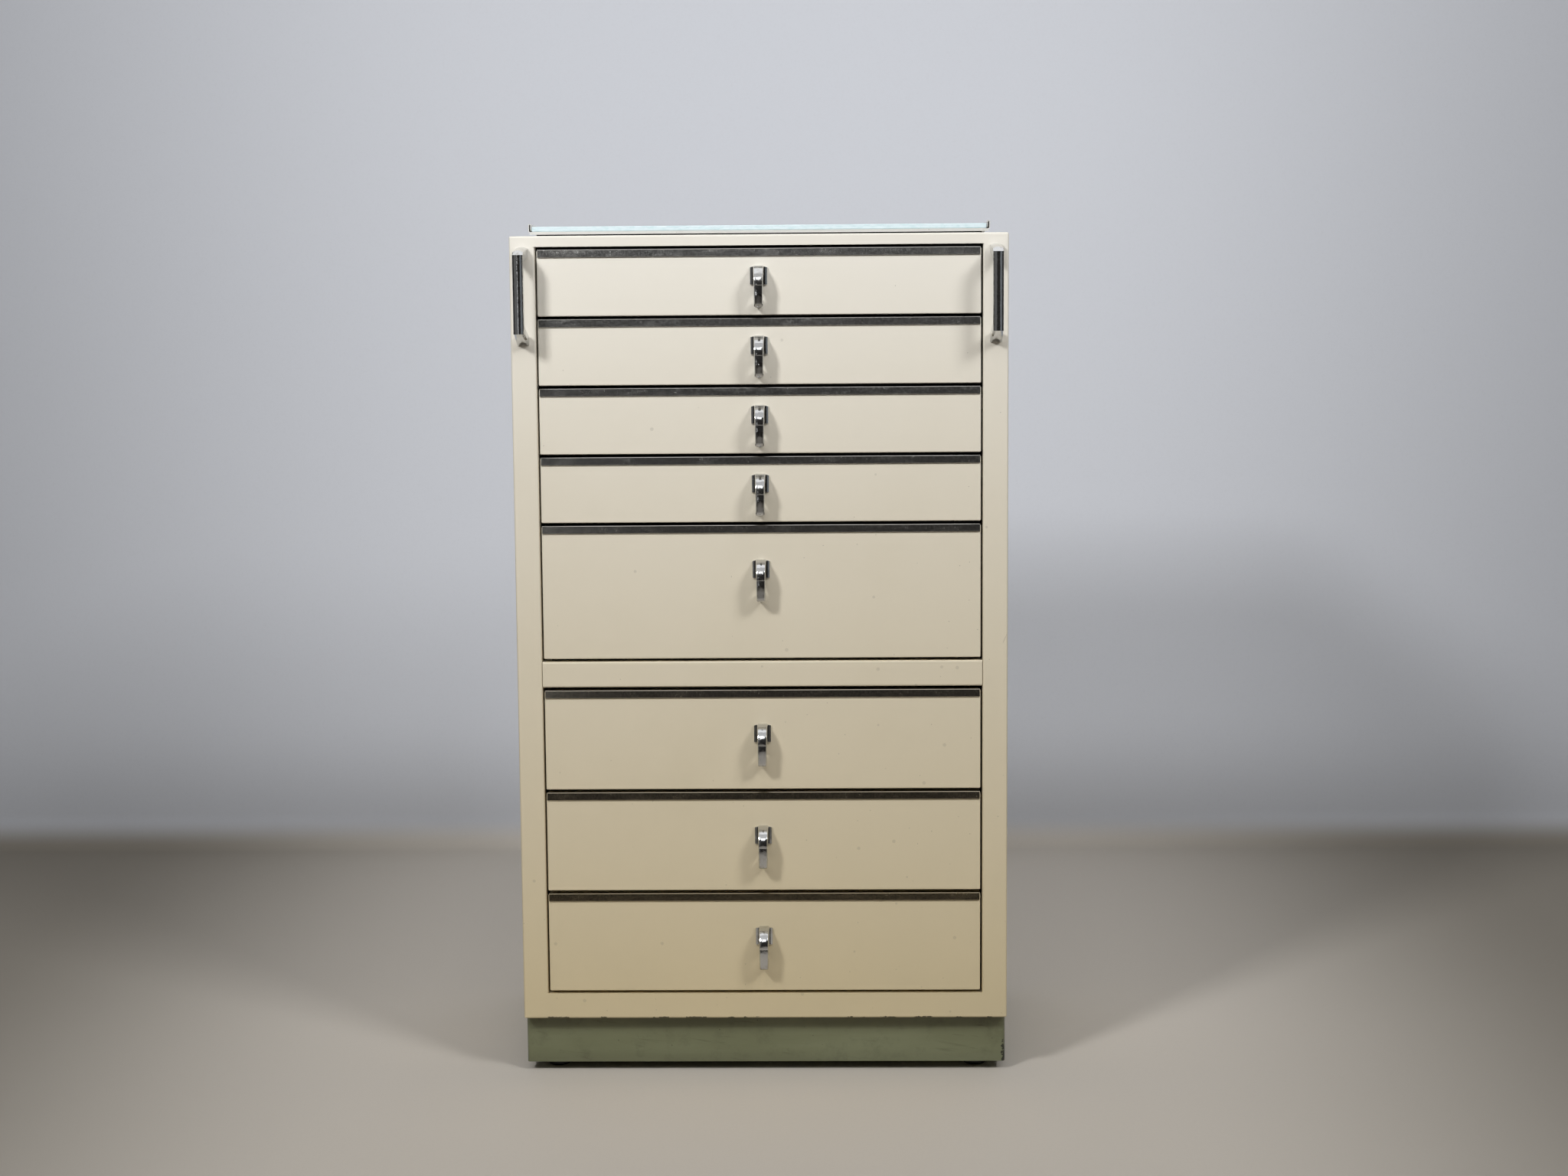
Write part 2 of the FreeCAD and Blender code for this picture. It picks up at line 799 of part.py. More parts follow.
def pieces():
    """Every node by name."""
    side_wall, posts, rails, handle = side_panel(), runner_posts(), runners(), grip()
    nodes = {
        "left_side_panel": mirrored(side_wall),
        "right_side_panel": side_wall,
        "top_panel": top_panel(),
        "base_panel": base_panel(),
        "mid_rail": middle_rail(),
        "back_panel": back_panel(),
        "back_screws": back_screws(),
        "plinth": plinth(),
        "floor_glides": floor_glides(),
        "left_runner_posts": [mirrored(post) for post in posts],
        "right_runner_posts": posts,
        "left_runners": [mirrored(rail) for rail in rails],
        "right_runners": rails,
        "drawer_buffers": drawer_buffers(),
        "left_grip": mirrored(handle),
        "right_grip": handle,
        "grip_screws": grip_screws(),
        "glass_tray": glass_tray(),
        "glass_top": glass_top(),
        "tray_pads": tray_pads(),
    }
    for number, (low, height, drop) in enumerate(drawer_stack(), start=1):
        pull_top = low + height - drop
        name = f"drawer_{number}"
        nodes[f"{name}_front"] = drawer_front(low, height, pull_top)
        nodes[f"{name}_box"] = drawer_box(low, height, pull_top)
        nodes[f"{name}_trim"] = drawer_trim(low, height)
        nodes[f"{name}_pull"] = drawer_pull(pull_top)
        nodes[f"{name}_screws"] = pull_screws(pull_top)
    return nodes


def solids_of(shape):
    """One shape that holds only solids."""
    shapes = shape if isinstance(shape, list) else [shape]
    solids = [solid for item in shapes for solid in item.Solids]
    return solids[0] if len(solids) == 1 else Part.makeCompound(solids)


os.makedirs("parts", exist_ok=True)
for name, shape in pieces().items():
    solids_of(shape).exportStep(f"parts/{name}.step")
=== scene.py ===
"""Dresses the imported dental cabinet: finishes, screws, weld spots, and the studio it stands in."""
import logging
import math
from abc import ABC, abstractmethod
from collections.abc import Iterator, Mapping, Sequence
from dataclasses import dataclass, field
from enum import Enum
from typing import TypeAlias

import bmesh
import bpy
from mathutils import Matrix, Vector


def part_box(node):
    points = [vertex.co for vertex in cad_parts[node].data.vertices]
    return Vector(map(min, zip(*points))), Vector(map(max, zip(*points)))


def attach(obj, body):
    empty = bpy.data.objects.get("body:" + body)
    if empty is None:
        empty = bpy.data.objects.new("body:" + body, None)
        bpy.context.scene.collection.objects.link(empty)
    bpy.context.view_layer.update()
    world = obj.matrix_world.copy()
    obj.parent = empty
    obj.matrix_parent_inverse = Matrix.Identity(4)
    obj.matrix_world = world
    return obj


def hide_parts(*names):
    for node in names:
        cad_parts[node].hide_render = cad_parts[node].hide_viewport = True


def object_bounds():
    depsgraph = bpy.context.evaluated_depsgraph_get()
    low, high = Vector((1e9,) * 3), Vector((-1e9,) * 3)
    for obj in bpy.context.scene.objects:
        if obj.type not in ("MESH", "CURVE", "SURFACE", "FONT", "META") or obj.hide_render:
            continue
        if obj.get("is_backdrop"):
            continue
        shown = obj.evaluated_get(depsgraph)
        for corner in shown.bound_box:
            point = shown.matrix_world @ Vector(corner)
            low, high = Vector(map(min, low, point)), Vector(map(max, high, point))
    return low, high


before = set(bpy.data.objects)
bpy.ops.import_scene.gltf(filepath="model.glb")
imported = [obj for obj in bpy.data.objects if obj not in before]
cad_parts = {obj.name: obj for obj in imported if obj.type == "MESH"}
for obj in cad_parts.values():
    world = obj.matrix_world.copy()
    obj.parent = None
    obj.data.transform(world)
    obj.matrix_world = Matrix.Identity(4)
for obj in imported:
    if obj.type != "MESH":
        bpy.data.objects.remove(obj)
CAD_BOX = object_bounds()

LOG = logging.getLogger("dental_cabinet")
DRAWERS = range(1, 9)
SAME_POINT = 1e-6
SORT_DIGITS = 5
QUARTER_TURN = math.pi / 2

# Places of a Mix node's colour sockets and of a Random Value node's float sockets.
MIX_FACTOR, MIX_FIRST, MIX_SECOND, MIX_RESULT = 0, 6, 7, 2
RANDOM_LEAST, RANDOM_MOST, RANDOM_SEED, RANDOM_RESULT = 2, 3, 8, 1

Material = bpy.types.Material
Value: TypeAlias = "Signal | float"
Pair = tuple[float, float]
Triple = tuple[float, float, float]
Rgba = tuple[float, float, float, float]

UNTURNED: Triple = (0.0, 0.0, 0.0)
UNSTRETCHED: Triple = (1.0, 1.0, 1.0)
BLACK: Rgba = (0.0, 0.0, 0.0, 1.0)


class Slot(Enum):
    """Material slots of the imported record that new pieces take."""

    ENAMEL = "enamel"
    FASTENER = "fastener"


class Sum(Enum):
    """Operations of a Math node that the trees use."""

    ADD = "ADD"
    SUBTRACT = "SUBTRACT"
    MULTIPLY = "MULTIPLY"
    MOST = "MAXIMUM"
    OVER = "GREATER_THAN"
    UNDER = "LESS_THAN"
    SIZE = "ABSOLUTE"


class Fade(Enum):
    """Ways in which a Map Range node runs from nought to one."""

    EVEN = "LINEAR"
    SOFT = "SMOOTHSTEP"


def linear(level: int) -> float:
    """Turns one 8-bit sRGB level into a linear value between nought and one."""
    share = level / 255
    return share / 12.92 if share <= 0.04045 else ((share + 0.055) / 1.055) ** 2.4


def paint(red: int, green: int, blue: int) -> Rgba:
    """Gives the linear colour of three 8-bit sRGB levels, with full opacity."""
    return linear(red), linear(green), linear(blue), 1.0


class Signal:
    """An output socket of a node tree, on which arithmetic adds Math nodes."""

    def __init__(self, graph: "NodeGraph", socket: bpy.types.NodeSocket) -> None:
        """Keeps the socket and the graph that it belongs to."""
        self.graph = graph
        self.socket = socket

    def _sum(self, kind: Sum, first: Value, second: Value) -> "Signal":
        """Adds one Math node and gives its result."""
        return self.graph.node("ShaderNodeMath", {"operation": kind.value}, {0: first, 1: second})

    def __add__(self, other: Value) -> "Signal":
        """Adds a value."""
        return self._sum(Sum.ADD, self, other)

    def __sub__(self, other: Value) -> "Signal":
        """Takes a value away."""
        return self._sum(Sum.SUBTRACT, self, other)

    def __rsub__(self, other: float) -> "Signal":
        """Takes this away from a plain number."""
        return self._sum(Sum.SUBTRACT, other, self)

    def __mul__(self, other: Value) -> "Signal":
        """Multiplies by a value."""
        return self._sum(Sum.MULTIPLY, self, other)

    __radd__ = __add__
    __rmul__ = __mul__

    def __gt__(self, other: Value) -> "Signal":
        """Gives one where this is the greater, and nought elsewhere."""
        return self._sum(Sum.OVER, self, other)

    def __lt__(self, other: Value) -> "Signal":
        """Gives one where this is the smaller, and nought elsewhere."""
        return self._sum(Sum.UNDER, self, other)

    def __or__(self, other: Value) -> "Signal":
        """Gives the greater of two masks."""
        return self._sum(Sum.MOST, self, other)

    def __abs__(self) -> "Signal":
        """Drops the sign."""
        return self._sum(Sum.SIZE, self, 0.0)

    def fade(self, start: float, end: float, how: Fade = Fade.SOFT) -> "Signal":
        """Runs from nought at start to one at end, which may be the lower, and stays there."""
        return self.graph.node("ShaderNodeMapRange", {"interpolation_type": how.value, "clamp": True},
                               {"Value": self, "From Min": start, "From Max": end})

    def twin(self, output: str) -> "Signal":
        """Gives another output of the same node."""
        return Signal(self.graph, self.socket.node.outputs[output])


@dataclass(frozen=True, kw_only=True)
class Pattern:
    """How a pattern of a finish lies, and what it does to the surface.

    Attributes:
        turn: angles about X, Y and Z in degrees.
        stretch: factors on the coordinates along X, Y and Z.
        tint: how strongly it colours the surface.
        dull: how much roughness it adds.
        depth: its height or depth in metres.
    """

    turn: Triple = UNTURNED
    stretch: Triple = UNSTRETCHED
    tint: float = 0.0
    dull: float = 0.0
    depth: float = 0.0


@dataclass(frozen=True)
class Grain(Pattern):
    """A noise in a finish.

    Attributes:
        scale: waves in a metre.
        detail: how many finer layers lie on it.
        roughness: how strong those are.
        fade: the values at which its mask is nought and one.
    """

    scale: float
    detail: float = 2.0
    roughness: float = 0.5
    fade: Pair = (0.0, 1.0)


@dataclass(frozen=True)
class Spots(Pattern):
    """Scattered spots in a finish, one at most in each cell of a loose lattice.

    Attributes:
        scale: cells in a metre.
        radius: smallest and largest radius of a spot, in cells.
        share: share of the cells that have a spot.
    """

    scale: float
    radius: Pair
    share: float


class NodeGraph:
    """A node tree in which one method makes the nodes."""

    def __init__(self, tree: bpy.types.NodeTree) -> None:
        """Keeps the tree."""
        self.tree = tree

    def node(self, kind: str, settings: Mapping[str, object] | None = None,
             sockets: Mapping[str | int, object] | None = None, output: str | int = 0) -> Signal:
        """Adds one node.

        Args:
            kind: the node's type.
            settings: its properties, set first.
            sockets: values, links, or lists of links of its inputs, by name or place.
            output: the output that is wanted.

        Returns:
            That output.
        """
        made = self.tree.nodes.new(kind)
        for key, value in (settings or {}).items():
            setattr(made, key, value)
        for key, value in (sockets or {}).items():
            for item in value if isinstance(value, list) else [value]:
                if isinstance(item, Signal):
                    self.tree.links.new(item.socket, made.inputs[key])
                else:
                    made.inputs[key].default_value = item
        return Signal(self, made.outputs[output])


class ShaderGraph(NodeGraph):
    """The node tree of one material, or of the world."""

    def __init__(self, name: str, world: bool = False) -> None:
        """Makes an empty node material or world.

        Args:
            name: its name.
            world: whether it is a world.
        """
        self.ending = "ShaderNodeOutputWorld" if world else "ShaderNodeOutputMaterial"
        self.owner = (bpy.data.worlds if world else bpy.data.materials).new(name)
        self.owner.use_nodes = True
        super().__init__(self.owner.node_tree)
        self.tree.nodes.clear()

    def place(self) -> Signal:
        """Gives the point's object coordinates."""
        return self.node("ShaderNodeTexCoord", output="Object")

    def laid(self, look: Pattern) -> Signal:
        """Gives the object coordinates, turned and stretched for a pattern.

        Args:
            look: the pattern.

        Returns:
            The coordinates.
        """
        if (look.turn, look.stretch) == (UNTURNED, UNSTRETCHED):
            return self.place()
        angles = tuple(math.radians(angle) for angle in look.turn)
        return self.node("ShaderNodeMapping", {"vector_type": "TEXTURE"},
                         {"Vector": self.place(), "Rotation": angles,
                          "Scale": tuple(1 / factor for factor in look.stretch)})

    def split(self, vector: Signal) -> tuple[Signal, Signal, Signal]:
        """Gives a vector's X, Y and Z."""
        across = self.node("ShaderNodeSeparateXYZ", sockets={"Vector": vector}, output="X")
        return across, across.twin("Y"), across.twin("Z")

    def noise(self, look: Grain) -> Signal:
        """Adds a noise between nought and one."""
        return self.node("ShaderNodeTexNoise", {"noise_dimensions": "3D"}, {
            "Vector": self.laid(look), "Scale": look.scale, "Detail": look.detail,
            "Roughness": look.roughness})

    def mask(self, look: Grain) -> Signal:
        """Adds a noise and fades it into a mask."""
        return self.noise(look).fade(*look.fade)

    def cells(self, scale: float, at: Signal) -> tuple[Signal, Signal]:
        """Gives the distance from the nearest cell's middle in a lattice, and that cell's chance value."""
        near = self.node("ShaderNodeTexVoronoi", {"feature": "F1"}, {"Vector": at, "Scale": scale},
                         "Distance")
        return near, self.node("ShaderNodeSeparateColor", sockets={"Color": near.twin("Color")}, output="Red")

    def spots(self, look: Spots, soil: Value = 1.0) -> Signal:
        """Marks scattered spots.

        Args:
            look: the spots.
            soil: factor on the share of cells that have a spot.

        Returns:
            A mask, one on the spots.
        """
        near, chance = self.cells(look.scale, self.laid(look))
        least, most = look.radius
        return (near < least + chance.twin("Green") * (most - least)) * (chance < soil * look.share)

    def mix(self, factor: Value, first: "Signal | Rgba", second: "Signal | Rgba") -> Signal:
        """Mixes two colours, the second where the factor is one."""
        return self.node("ShaderNodeMix", {"data_type": "RGBA", "clamp_factor": True},
                         {MIX_FACTOR: factor, MIX_FIRST: first, MIX_SECOND: second}, MIX_RESULT)

    def bump(self, height: Signal, depth: float, below: Signal | None = None) -> Signal:
        """Turns a height into a bumped normal.

        Args:
            height: the height, nought to one.
            depth: how far one stands out, in metres.
            below: a normal that this bump lies on.

        Returns:
            The normal.
        """
        sockets: dict[str | int, object] = {"Height": height, "Distance": depth, "Strength": 1.0}
        if below is not None:
            sockets["Normal"] = below
        return self.node("ShaderNodeBump", sockets=sockets)

    def relief(self, look: Grain, below: Signal | None = None) -> Signal:
        """Turns a noise into a bumped normal, on another normal where there is one."""
        return self.bump(self.noise(look), look.depth, below)

    def surface(self, sockets: Mapping[str | int, object]) -> Signal:
        """Adds a Principled shader with the given values and links."""
        return self.node("ShaderNodeBsdfPrincipled", {"distribution": "MULTI_GGX"}, sockets)

    def blend(self, factor: Signal, first: Signal, second: Signal) -> Signal:
        """Mixes two shaders, the second where the factor is one."""
        return self.node("ShaderNodeMixShader", sockets={0: factor, 1: first, 2: second})

    def end(self, shader: Signal) -> Material | bpy.types.World:
        """Links the finished shader to the output and gives the material or world."""
        self.tree.links.new(shader.socket, self.tree.nodes.new(self.ending).inputs["Surface"])
        return self.owner

    def coat(self, colour: Signal, rough: Signal, normal: Signal, metal: float = 0.0) -> Material:
        """Ends the tree in one Principled shader and gives the material."""
        return self.end(self.surface({"Base Color": colour, "Metallic": metal, "Roughness": rough,
                                      "Normal": normal}))


class Finish(ABC):
    """A finish that makes one material."""

    @abstractmethod
    def build(self) -> Material:
        """Makes the material."""


@dataclass(frozen=True)
class Enamel(Finish):
    """Cream stove enamel, darker, yellower and more marked towards the floor.

    Attributes:
        name: the material's name.
        upper: colour at the worktop.
        lower: colour near the floor.
        stain: colour of its faint darker clouds.
        bare: colour of specks and chips.
        shine: roughness where it is clean.
        marks: how many specks and scratches it has, one on the outside.
        levels: heights at which it has its upper and its lower colour.
        chipped: heights of the upper and lower end of the chipped edge.
        foot: heights at which the soil of the floor begins and is full.
        dirty_side: places across at which the soil of the right side begins and is full.
        soil: soil everywhere, growing towards the floor, and at the foot.
        cloud_least: share of the clouds at the upper level.
    """

    name: str
    upper: Rgba = paint(243, 239, 229)
    lower: Rgba = paint(219, 203, 166)
    stain: Rgba = paint(196, 184, 152)
    bare: Rgba = paint(74, 66, 50)
    shine: float = 0.34
    marks: float = 1.0
    levels: Pair = (1.03, 0.10)
    chipped: Pair = (0.078, 0.0735)
    foot: Pair = (0.16, 0.08)
    dirty_side: Pair = (-0.15, 0.28)
    soil: Triple = (0.12, 0.2, 0.4)
    soil_tint: float = 0.14
    cloud_least: float = 0.4
    clouds: Grain = Grain(5.0, 4.0, 0.6, (0.46, 0.74), tint=0.10, dull=0.08)
    smears: Grain = Grain(9.0, 3.0, 0.55, (0.52, 0.78), turn=(0, 12, 0), stretch=(1, 1, 0.22), tint=0.08,
                          dull=0.10)
    specks: Spots = Spots(80.0, (0.025, 0.085), 0.75, tint=0.60)
    blots: Spots = Spots(38.0, (0.030, 0.085), 0.8, tint=0.16)
    nicks: Spots = Spots(26.0, (0.010, 0.022), 0.6, turn=(0, 24, 0), stretch=(1, 1, 0.07), tint=0.26)
    cross_nicks: Spots = Spots(24.0, (0.010, 0.020), 0.6, turn=(0, -63, 0), stretch=(1, 1, 0.08))
    ragged: Grain = Grain(420.0, 3.0, 0.6, tint=0.85, dull=0.3, depth=0.00012)
    breaks: Grain = Grain(46.0, 1.0, fade=(0.46, 0.60))
    chip_level: float = 0.38
    peel: Grain = Grain(420.0, depth=0.00003)
    sag: Grain = Grain(16.0, 1.0, depth=0.00035)

    def build(self) -> Material:
        """Makes the material.

        Returns:
            The enamel.
        """
        graph = ShaderGraph(self.name)
        across, _, up = graph.split(graph.place())
        # The colour grows darker and yellower from the upper level to the lower one, and the clouds and soil
        # grow with it.
        floorward = up.fade(*self.levels, Fade.EVEN)
        clouds, smears = graph.mask(self.clouds), graph.mask(self.smears)
        cloudy = (clouds * self.clouds.tint + smears * self.smears.tint) * (self.cloud_least + floorward)
        colour = graph.mix(cloudy, graph.mix(floorward, self.upper, self.lower), self.stain)
        least, floorward_soil, low = self.soil
        dirty = floorward * (floorward_soil + across.fade(*self.dirty_side)) + up.fade(*self.foot) * low
        soil = (least + dirty) * self.marks
        colour = graph.mix(soil * self.soil_tint, colour, self.stain)
        specks, blots = graph.spots(self.specks, soil), graph.spots(self.blots, soil)
        nicks = graph.spots(self.nicks, soil) | graph.spots(self.cross_nicks, soil)
        ragged = graph.noise(self.ragged) * graph.mask(self.breaks)
        chips = (ragged * up.fade(*self.chipped)) > self.chip_level
        colour = graph.mix(nicks * self.nicks.tint + blots * self.blots.tint, colour, self.bare)
        colour = graph.mix(specks * self.specks.tint, colour, self.bare)
        colour = graph.mix(chips * self.ragged.tint, colour, self.bare)
        damage = specks | chips
        normal = graph.bump(1 - damage, self.ragged.depth, graph.relief(self.peel, graph.relief(self.sag)))
        rough = (self.shine + clouds * self.clouds.dull + smears * self.smears.dull
                 + damage * self.ragged.dull)
        return graph.coat(colour, rough, normal)


@dataclass(frozen=True)
class PlinthPaint(Finish):
    """Grey-green satin paint, scuffed along the floor, chipped at the right front corner, with painted shade
    below the carcass.

    Attributes:
        foot: heights at which the scuffs of the floor begin and are full.
        overhang_shade: heights at which the painted shade under the carcass's overhang begins and is full.
        corner: where the chips begin and are full, along X, Y and Z.
    """

    name: str = "plinth_paint"
    sage: Rgba = paint(117, 120, 91)
    pale: Rgba = paint(140, 145, 116)
    # Colour of the dirt, and of the painted shade under the carcass's overhang.
    dirt_and_shade: Rgba = paint(62, 58, 42)
    bare: Rgba = paint(30, 27, 22)
    shine: float = 0.46
    foot: Pair = (0.032, 0.012)
    foot_tint: float = 0.22
    foot_dull: float = 0.12
    # Painted shade: the top of the plinth is darkened where the carcass overhangs it.
    overhang_shade: Pair = (0.043, 0.073)
    overhang_shade_tint: float = 0.42
    corner: tuple[Pair, Pair, Pair] = ((0.2885, 0.2975), (-0.150, -0.160), (0.056, 0.034))
    streaks: Grain = Grain(16.0, 4.0, 0.62, (0.40, 0.72), stretch=(0.28, 1, 1.6), tint=0.35)
    scuffs: Grain = Grain(60.0, 3.0, 0.6, (0.60, 0.72), turn=(0, 8, 0), stretch=(0.25, 1, 2.2), tint=0.22,
                          dull=0.18)
    grime: Grain = Grain(38.0, 5.0, 0.7, (0.48, 0.74), tint=0.24)
    ragged: Grain = Grain(240.0, 3.0, 0.6, tint=0.9, depth=0.00015)
    chip_level: float = 0.42
    specks: Spots = Spots(85.0, (0.02, 0.07), 0.45, tint=0.55)
    skin: Grain = Grain(340.0, depth=0.00004)

    def build(self) -> Material:
        """Makes the material.

        Returns:
            The paint.
        """
        graph = ShaderGraph(self.name)
        across, along, up = graph.split(graph.place())
        scuffs, foot = graph.mask(self.scuffs), up.fade(*self.foot)
        colour = graph.mix(graph.mask(self.streaks) * self.streaks.tint, self.sage, self.pale)
        # Scuffs, grime and the painted shade below the carcass darken the paint.
        dirty = (foot * self.foot_tint + scuffs * self.scuffs.tint + up.fade(*self.overhang_shade) * self.overhang_shade_tint
                 + graph.mask(self.grime) * self.grime.tint)
        colour = graph.mix(dirty, colour, self.dirt_and_shade)
        in_x, in_y, in_z = self.corner
        corner = across.fade(*in_x) * up.fade(*in_z) * along.fade(*in_y)
        chips = (graph.noise(self.ragged) * corner) > self.chip_level
        specks = graph.spots(self.specks)
        colour = graph.mix(chips * self.ragged.tint + specks * self.specks.tint, colour, self.bare)
        normal = graph.bump(1 - (chips | specks), self.ragged.depth, graph.relief(self.skin))
        return graph.coat(colour, self.shine + scuffs * self.scuffs.dull + foot * self.foot_dull, normal)


@dataclass(frozen=True)
class CastChrome(Finish):
    """Chrome on a polished casting, lightly clouded and pitted.

    Attributes:
        name: the material's name.
        bright: colour of the clean plate.
        dull: colour of the clouds on it.
        pit: colour of the pits.
        polish: roughness where it is clean.
        belly: how strongly polishing has rounded it across the middle plane, per metre.
        waves: the ripple that polishing left.
    """

    name: str = "cast_chrome"
    bright: Rgba = paint(203, 204, 205)
    dull: Rgba = paint(160, 157, 148)
    pit: Rgba = paint(46, 42, 36)
    polish: float = 0.08
    belly: float = 24.0
    clouds: Grain = Grain(70.0, 4.0, 0.65, (0.48, 0.76), tint=0.55, dull=0.12)
    mottle: Grain = Grain(420.0, 4.0, 0.7, (0.30, 0.80), dull=0.072)
    scratches: Grain = Grain(900.0, 2.0, 0.6, (0.56, 0.75), turn=(20, 35, 0), stretch=(1, 1, 0.12),
                             dull=0.05)
    pits: Spots = Spots(260.0, (0.06, 0.13), 0.10, tint=0.8, dull=0.4, depth=0.00005)
    waves: Grain = Grain(150.0, depth=0.00028)

    def build(self) -> Material:
        """Makes the material.

        Returns:
            The chrome.
        """
        graph = ShaderGraph(self.name)
        clouds, pits = graph.mask(self.clouds), graph.spots(self.pits)
        colour = graph.mix(clouds * self.clouds.tint, self.bright, self.dull)
        colour = graph.mix(pits * self.pits.tint, colour, self.pit)
        rough = (self.polish + clouds * self.clouds.dull + graph.mask(self.mottle) * self.mottle.dull
                 + graph.mask(self.scratches) * self.scratches.dull + pits * self.pits.dull)
        across, _, _ = graph.split(graph.place())
        normal = graph.relief(self.waves, graph.bump(1 - across * across * self.belly, 1.0))
        return graph.coat(colour, rough, graph.bump(1 - pits, self.pits.depth, normal), metal=1.0)


@dataclass(frozen=True)
class StripChrome(Finish):
    """Chrome on a rolled strip, streaked and rubbed along its length, with a painted darker reflection near
    the floor.

    Attributes:
        name: the material's name.
        bright: colour of the clean plate.
        dull: colour of the rubbed places.
        spot: colour of its small spots.
        painted_reflection_brown: colour of the painted darker, browner reflection on the strips near the
            floor.
        polish: roughness where it is clean.
        haze: roughness that rubbing adds.
        metal: how much of the light it throws back as bare metal does.
        painted_reflection_levels: heights at which that painted reflection begins and is full.
    """

    name: str = "strip_chrome"
    bright: Rgba = paint(200, 200, 198)
    dull: Rgba = paint(150, 146, 136)
    spot: Rgba = paint(58, 50, 38)
    painted_reflection_brown: Rgba = paint(168, 150, 112)
    polish: float = 0.13
    haze: float = 0.16
    metal: float = 1.0
    painted_reflection_levels: Pair = (0.85, 0.15)
    painted_reflection_tint: float = 0.8
    rubbed: Grain = Grain(48.0, 5.0, 0.7, (0.46, 0.72), stretch=(0.5, 1, 1.4), tint=0.40, dull=0.5)
    rolled: Grain = Grain(520.0, 3.0, 0.7, (0.60, 0.74), turn=(0, 9, 0), stretch=(0.45, 1, 1),
                          depth=0.00003)
    patches: Grain = Grain(85.0, fade=(0.46, 0.62))
    streaks: Grain = Grain(520.0, 4.0, 0.7, (0.30, 0.80), stretch=(1, 1, 0.5), dull=0.7)
    spots: Spots = Spots(210.0, (0.05, 0.12), 0.10, tint=0.75, dull=0.3)
    waves: Grain = Grain(110.0, 3.0, depth=0.00006)

    def build(self) -> Material:
        """Makes the material.

        Returns:
            The chrome.
        """
        graph = ShaderGraph(self.name)
        _, _, up = graph.split(graph.place())
        rubbed, rolled, spots = graph.mask(self.rubbed), graph.noise(self.rolled), graph.spots(self.spots)
        colour = graph.mix(rubbed * self.rubbed.tint, self.bright, self.dull)
        # Painted reflection: strips lower down are tinted darker and browner, standing in for the darker
        # surroundings that they mirror.
        colour = graph.mix(up.fade(*self.painted_reflection_levels) * self.painted_reflection_tint, colour, self.painted_reflection_brown)
        colour = graph.mix(spots * self.spots.tint, colour, self.spot)
        glints = rolled.fade(*self.rolled.fade) * graph.mask(self.patches)
        worn = rubbed * self.rubbed.dull + glints + graph.mask(self.streaks) * self.streaks.dull
        rough = self.polish + worn * self.haze + spots * self.spots.dull
        normal = graph.bump(rolled, self.rolled.depth, graph.relief(self.waves))
        return graph.coat(colour, rough, normal, self.metal)


@dataclass(frozen=True)
class PlateGlass(Finish):
    """Clear plate glass whose ground edges catch the light.

    Attributes:
        clear: tint of the light that goes through.
        ground: colour of the ground edges.
        deep: colour of the marks that grinding left.
        edge: upward slopes at which the ground edge begins and is full.
    """

    name: str = "plate_glass"
    clear: Rgba = (0.962, 0.990, 0.982, 1.0)
    ground: Rgba = paint(222, 238, 244)
    deep: Rgba = paint(174, 212, 216)
    edge: Pair = (0.95, 0.80)
    refraction: float = 1.52
    polish: float = 0.02
    rim_polish: float = 0.30
    smudges: Grain = Grain(24.0, 3.0, 0.6, (0.55, 0.80), dull=0.05)
    chatter: Grain = Grain(520.0, 3.0, 0.6, (0.40, 0.75), stretch=(0.25, 0.25, 1), tint=0.4, dull=0.15,
                           depth=0.00004)

    def build(self) -> Material:
        """Makes the material.

        Returns:
            The glass.
        """
        graph = ShaderGraph(self.name)
        _, _, up = graph.split(graph.node("ShaderNodeNewGeometry", output="Normal"))
        face = graph.surface({
            "Base Color": self.clear, "Transmission Weight": 1.0, "IOR": self.refraction,
            "Roughness": self.polish + graph.mask(self.smudges) * self.smudges.dull})
        shade = graph.node("ShaderNodeLightPath", output="Is Shadow Ray")
        bright = graph.node("ShaderNodeBsdfTransparent", sockets={"Color": self.clear})
        chatter = graph.noise(self.chatter)
        ground = chatter.fade(*self.chatter.fade) * self.chatter.tint
        rim = graph.surface({
            "Base Color": graph.mix(ground, self.ground, self.deep),
            "Roughness": self.rim_polish + chatter * self.chatter.dull,
            "Normal": graph.bump(chatter, self.chatter.depth)})
        return graph.end(graph.blend(abs(up).fade(*self.edge), graph.blend(shade, face, bright), rim))


@dataclass(frozen=True)
class ZincSteel(Finish):
    """Zinc-plated sheet with a faint spangle and rubbed runs."""

    name: str = "zinc_steel"
    light: Rgba = paint(126, 123, 116)
    dark: Rgba = paint(88, 85, 79)
    shine: float = 0.40
    spangle: float = 150.0
    spangle_tint: float = 0.5
    spangle_dull: float = 0.10
    runs: Grain = Grain(60.0, 3.0, 0.6, (0.48, 0.72), stretch=(1, 0.06, 1), tint=0.4, dull=0.12,
                        depth=0.00002)

    def build(self) -> Material:
        """Makes the material.

        Returns:
            The steel.
        """
        graph = ShaderGraph(self.name)
        _, shade = graph.cells(self.spangle, graph.place())
        runs = graph.mask(self.runs)
        colour = graph.mix(shade * self.spangle_tint + runs * self.runs.tint, self.light, self.dark)
        rough = self.shine + shade * self.spangle_dull + runs * self.runs.dull
        return graph.coat(colour, rough, graph.bump(runs, self.runs.depth), metal=1.0)


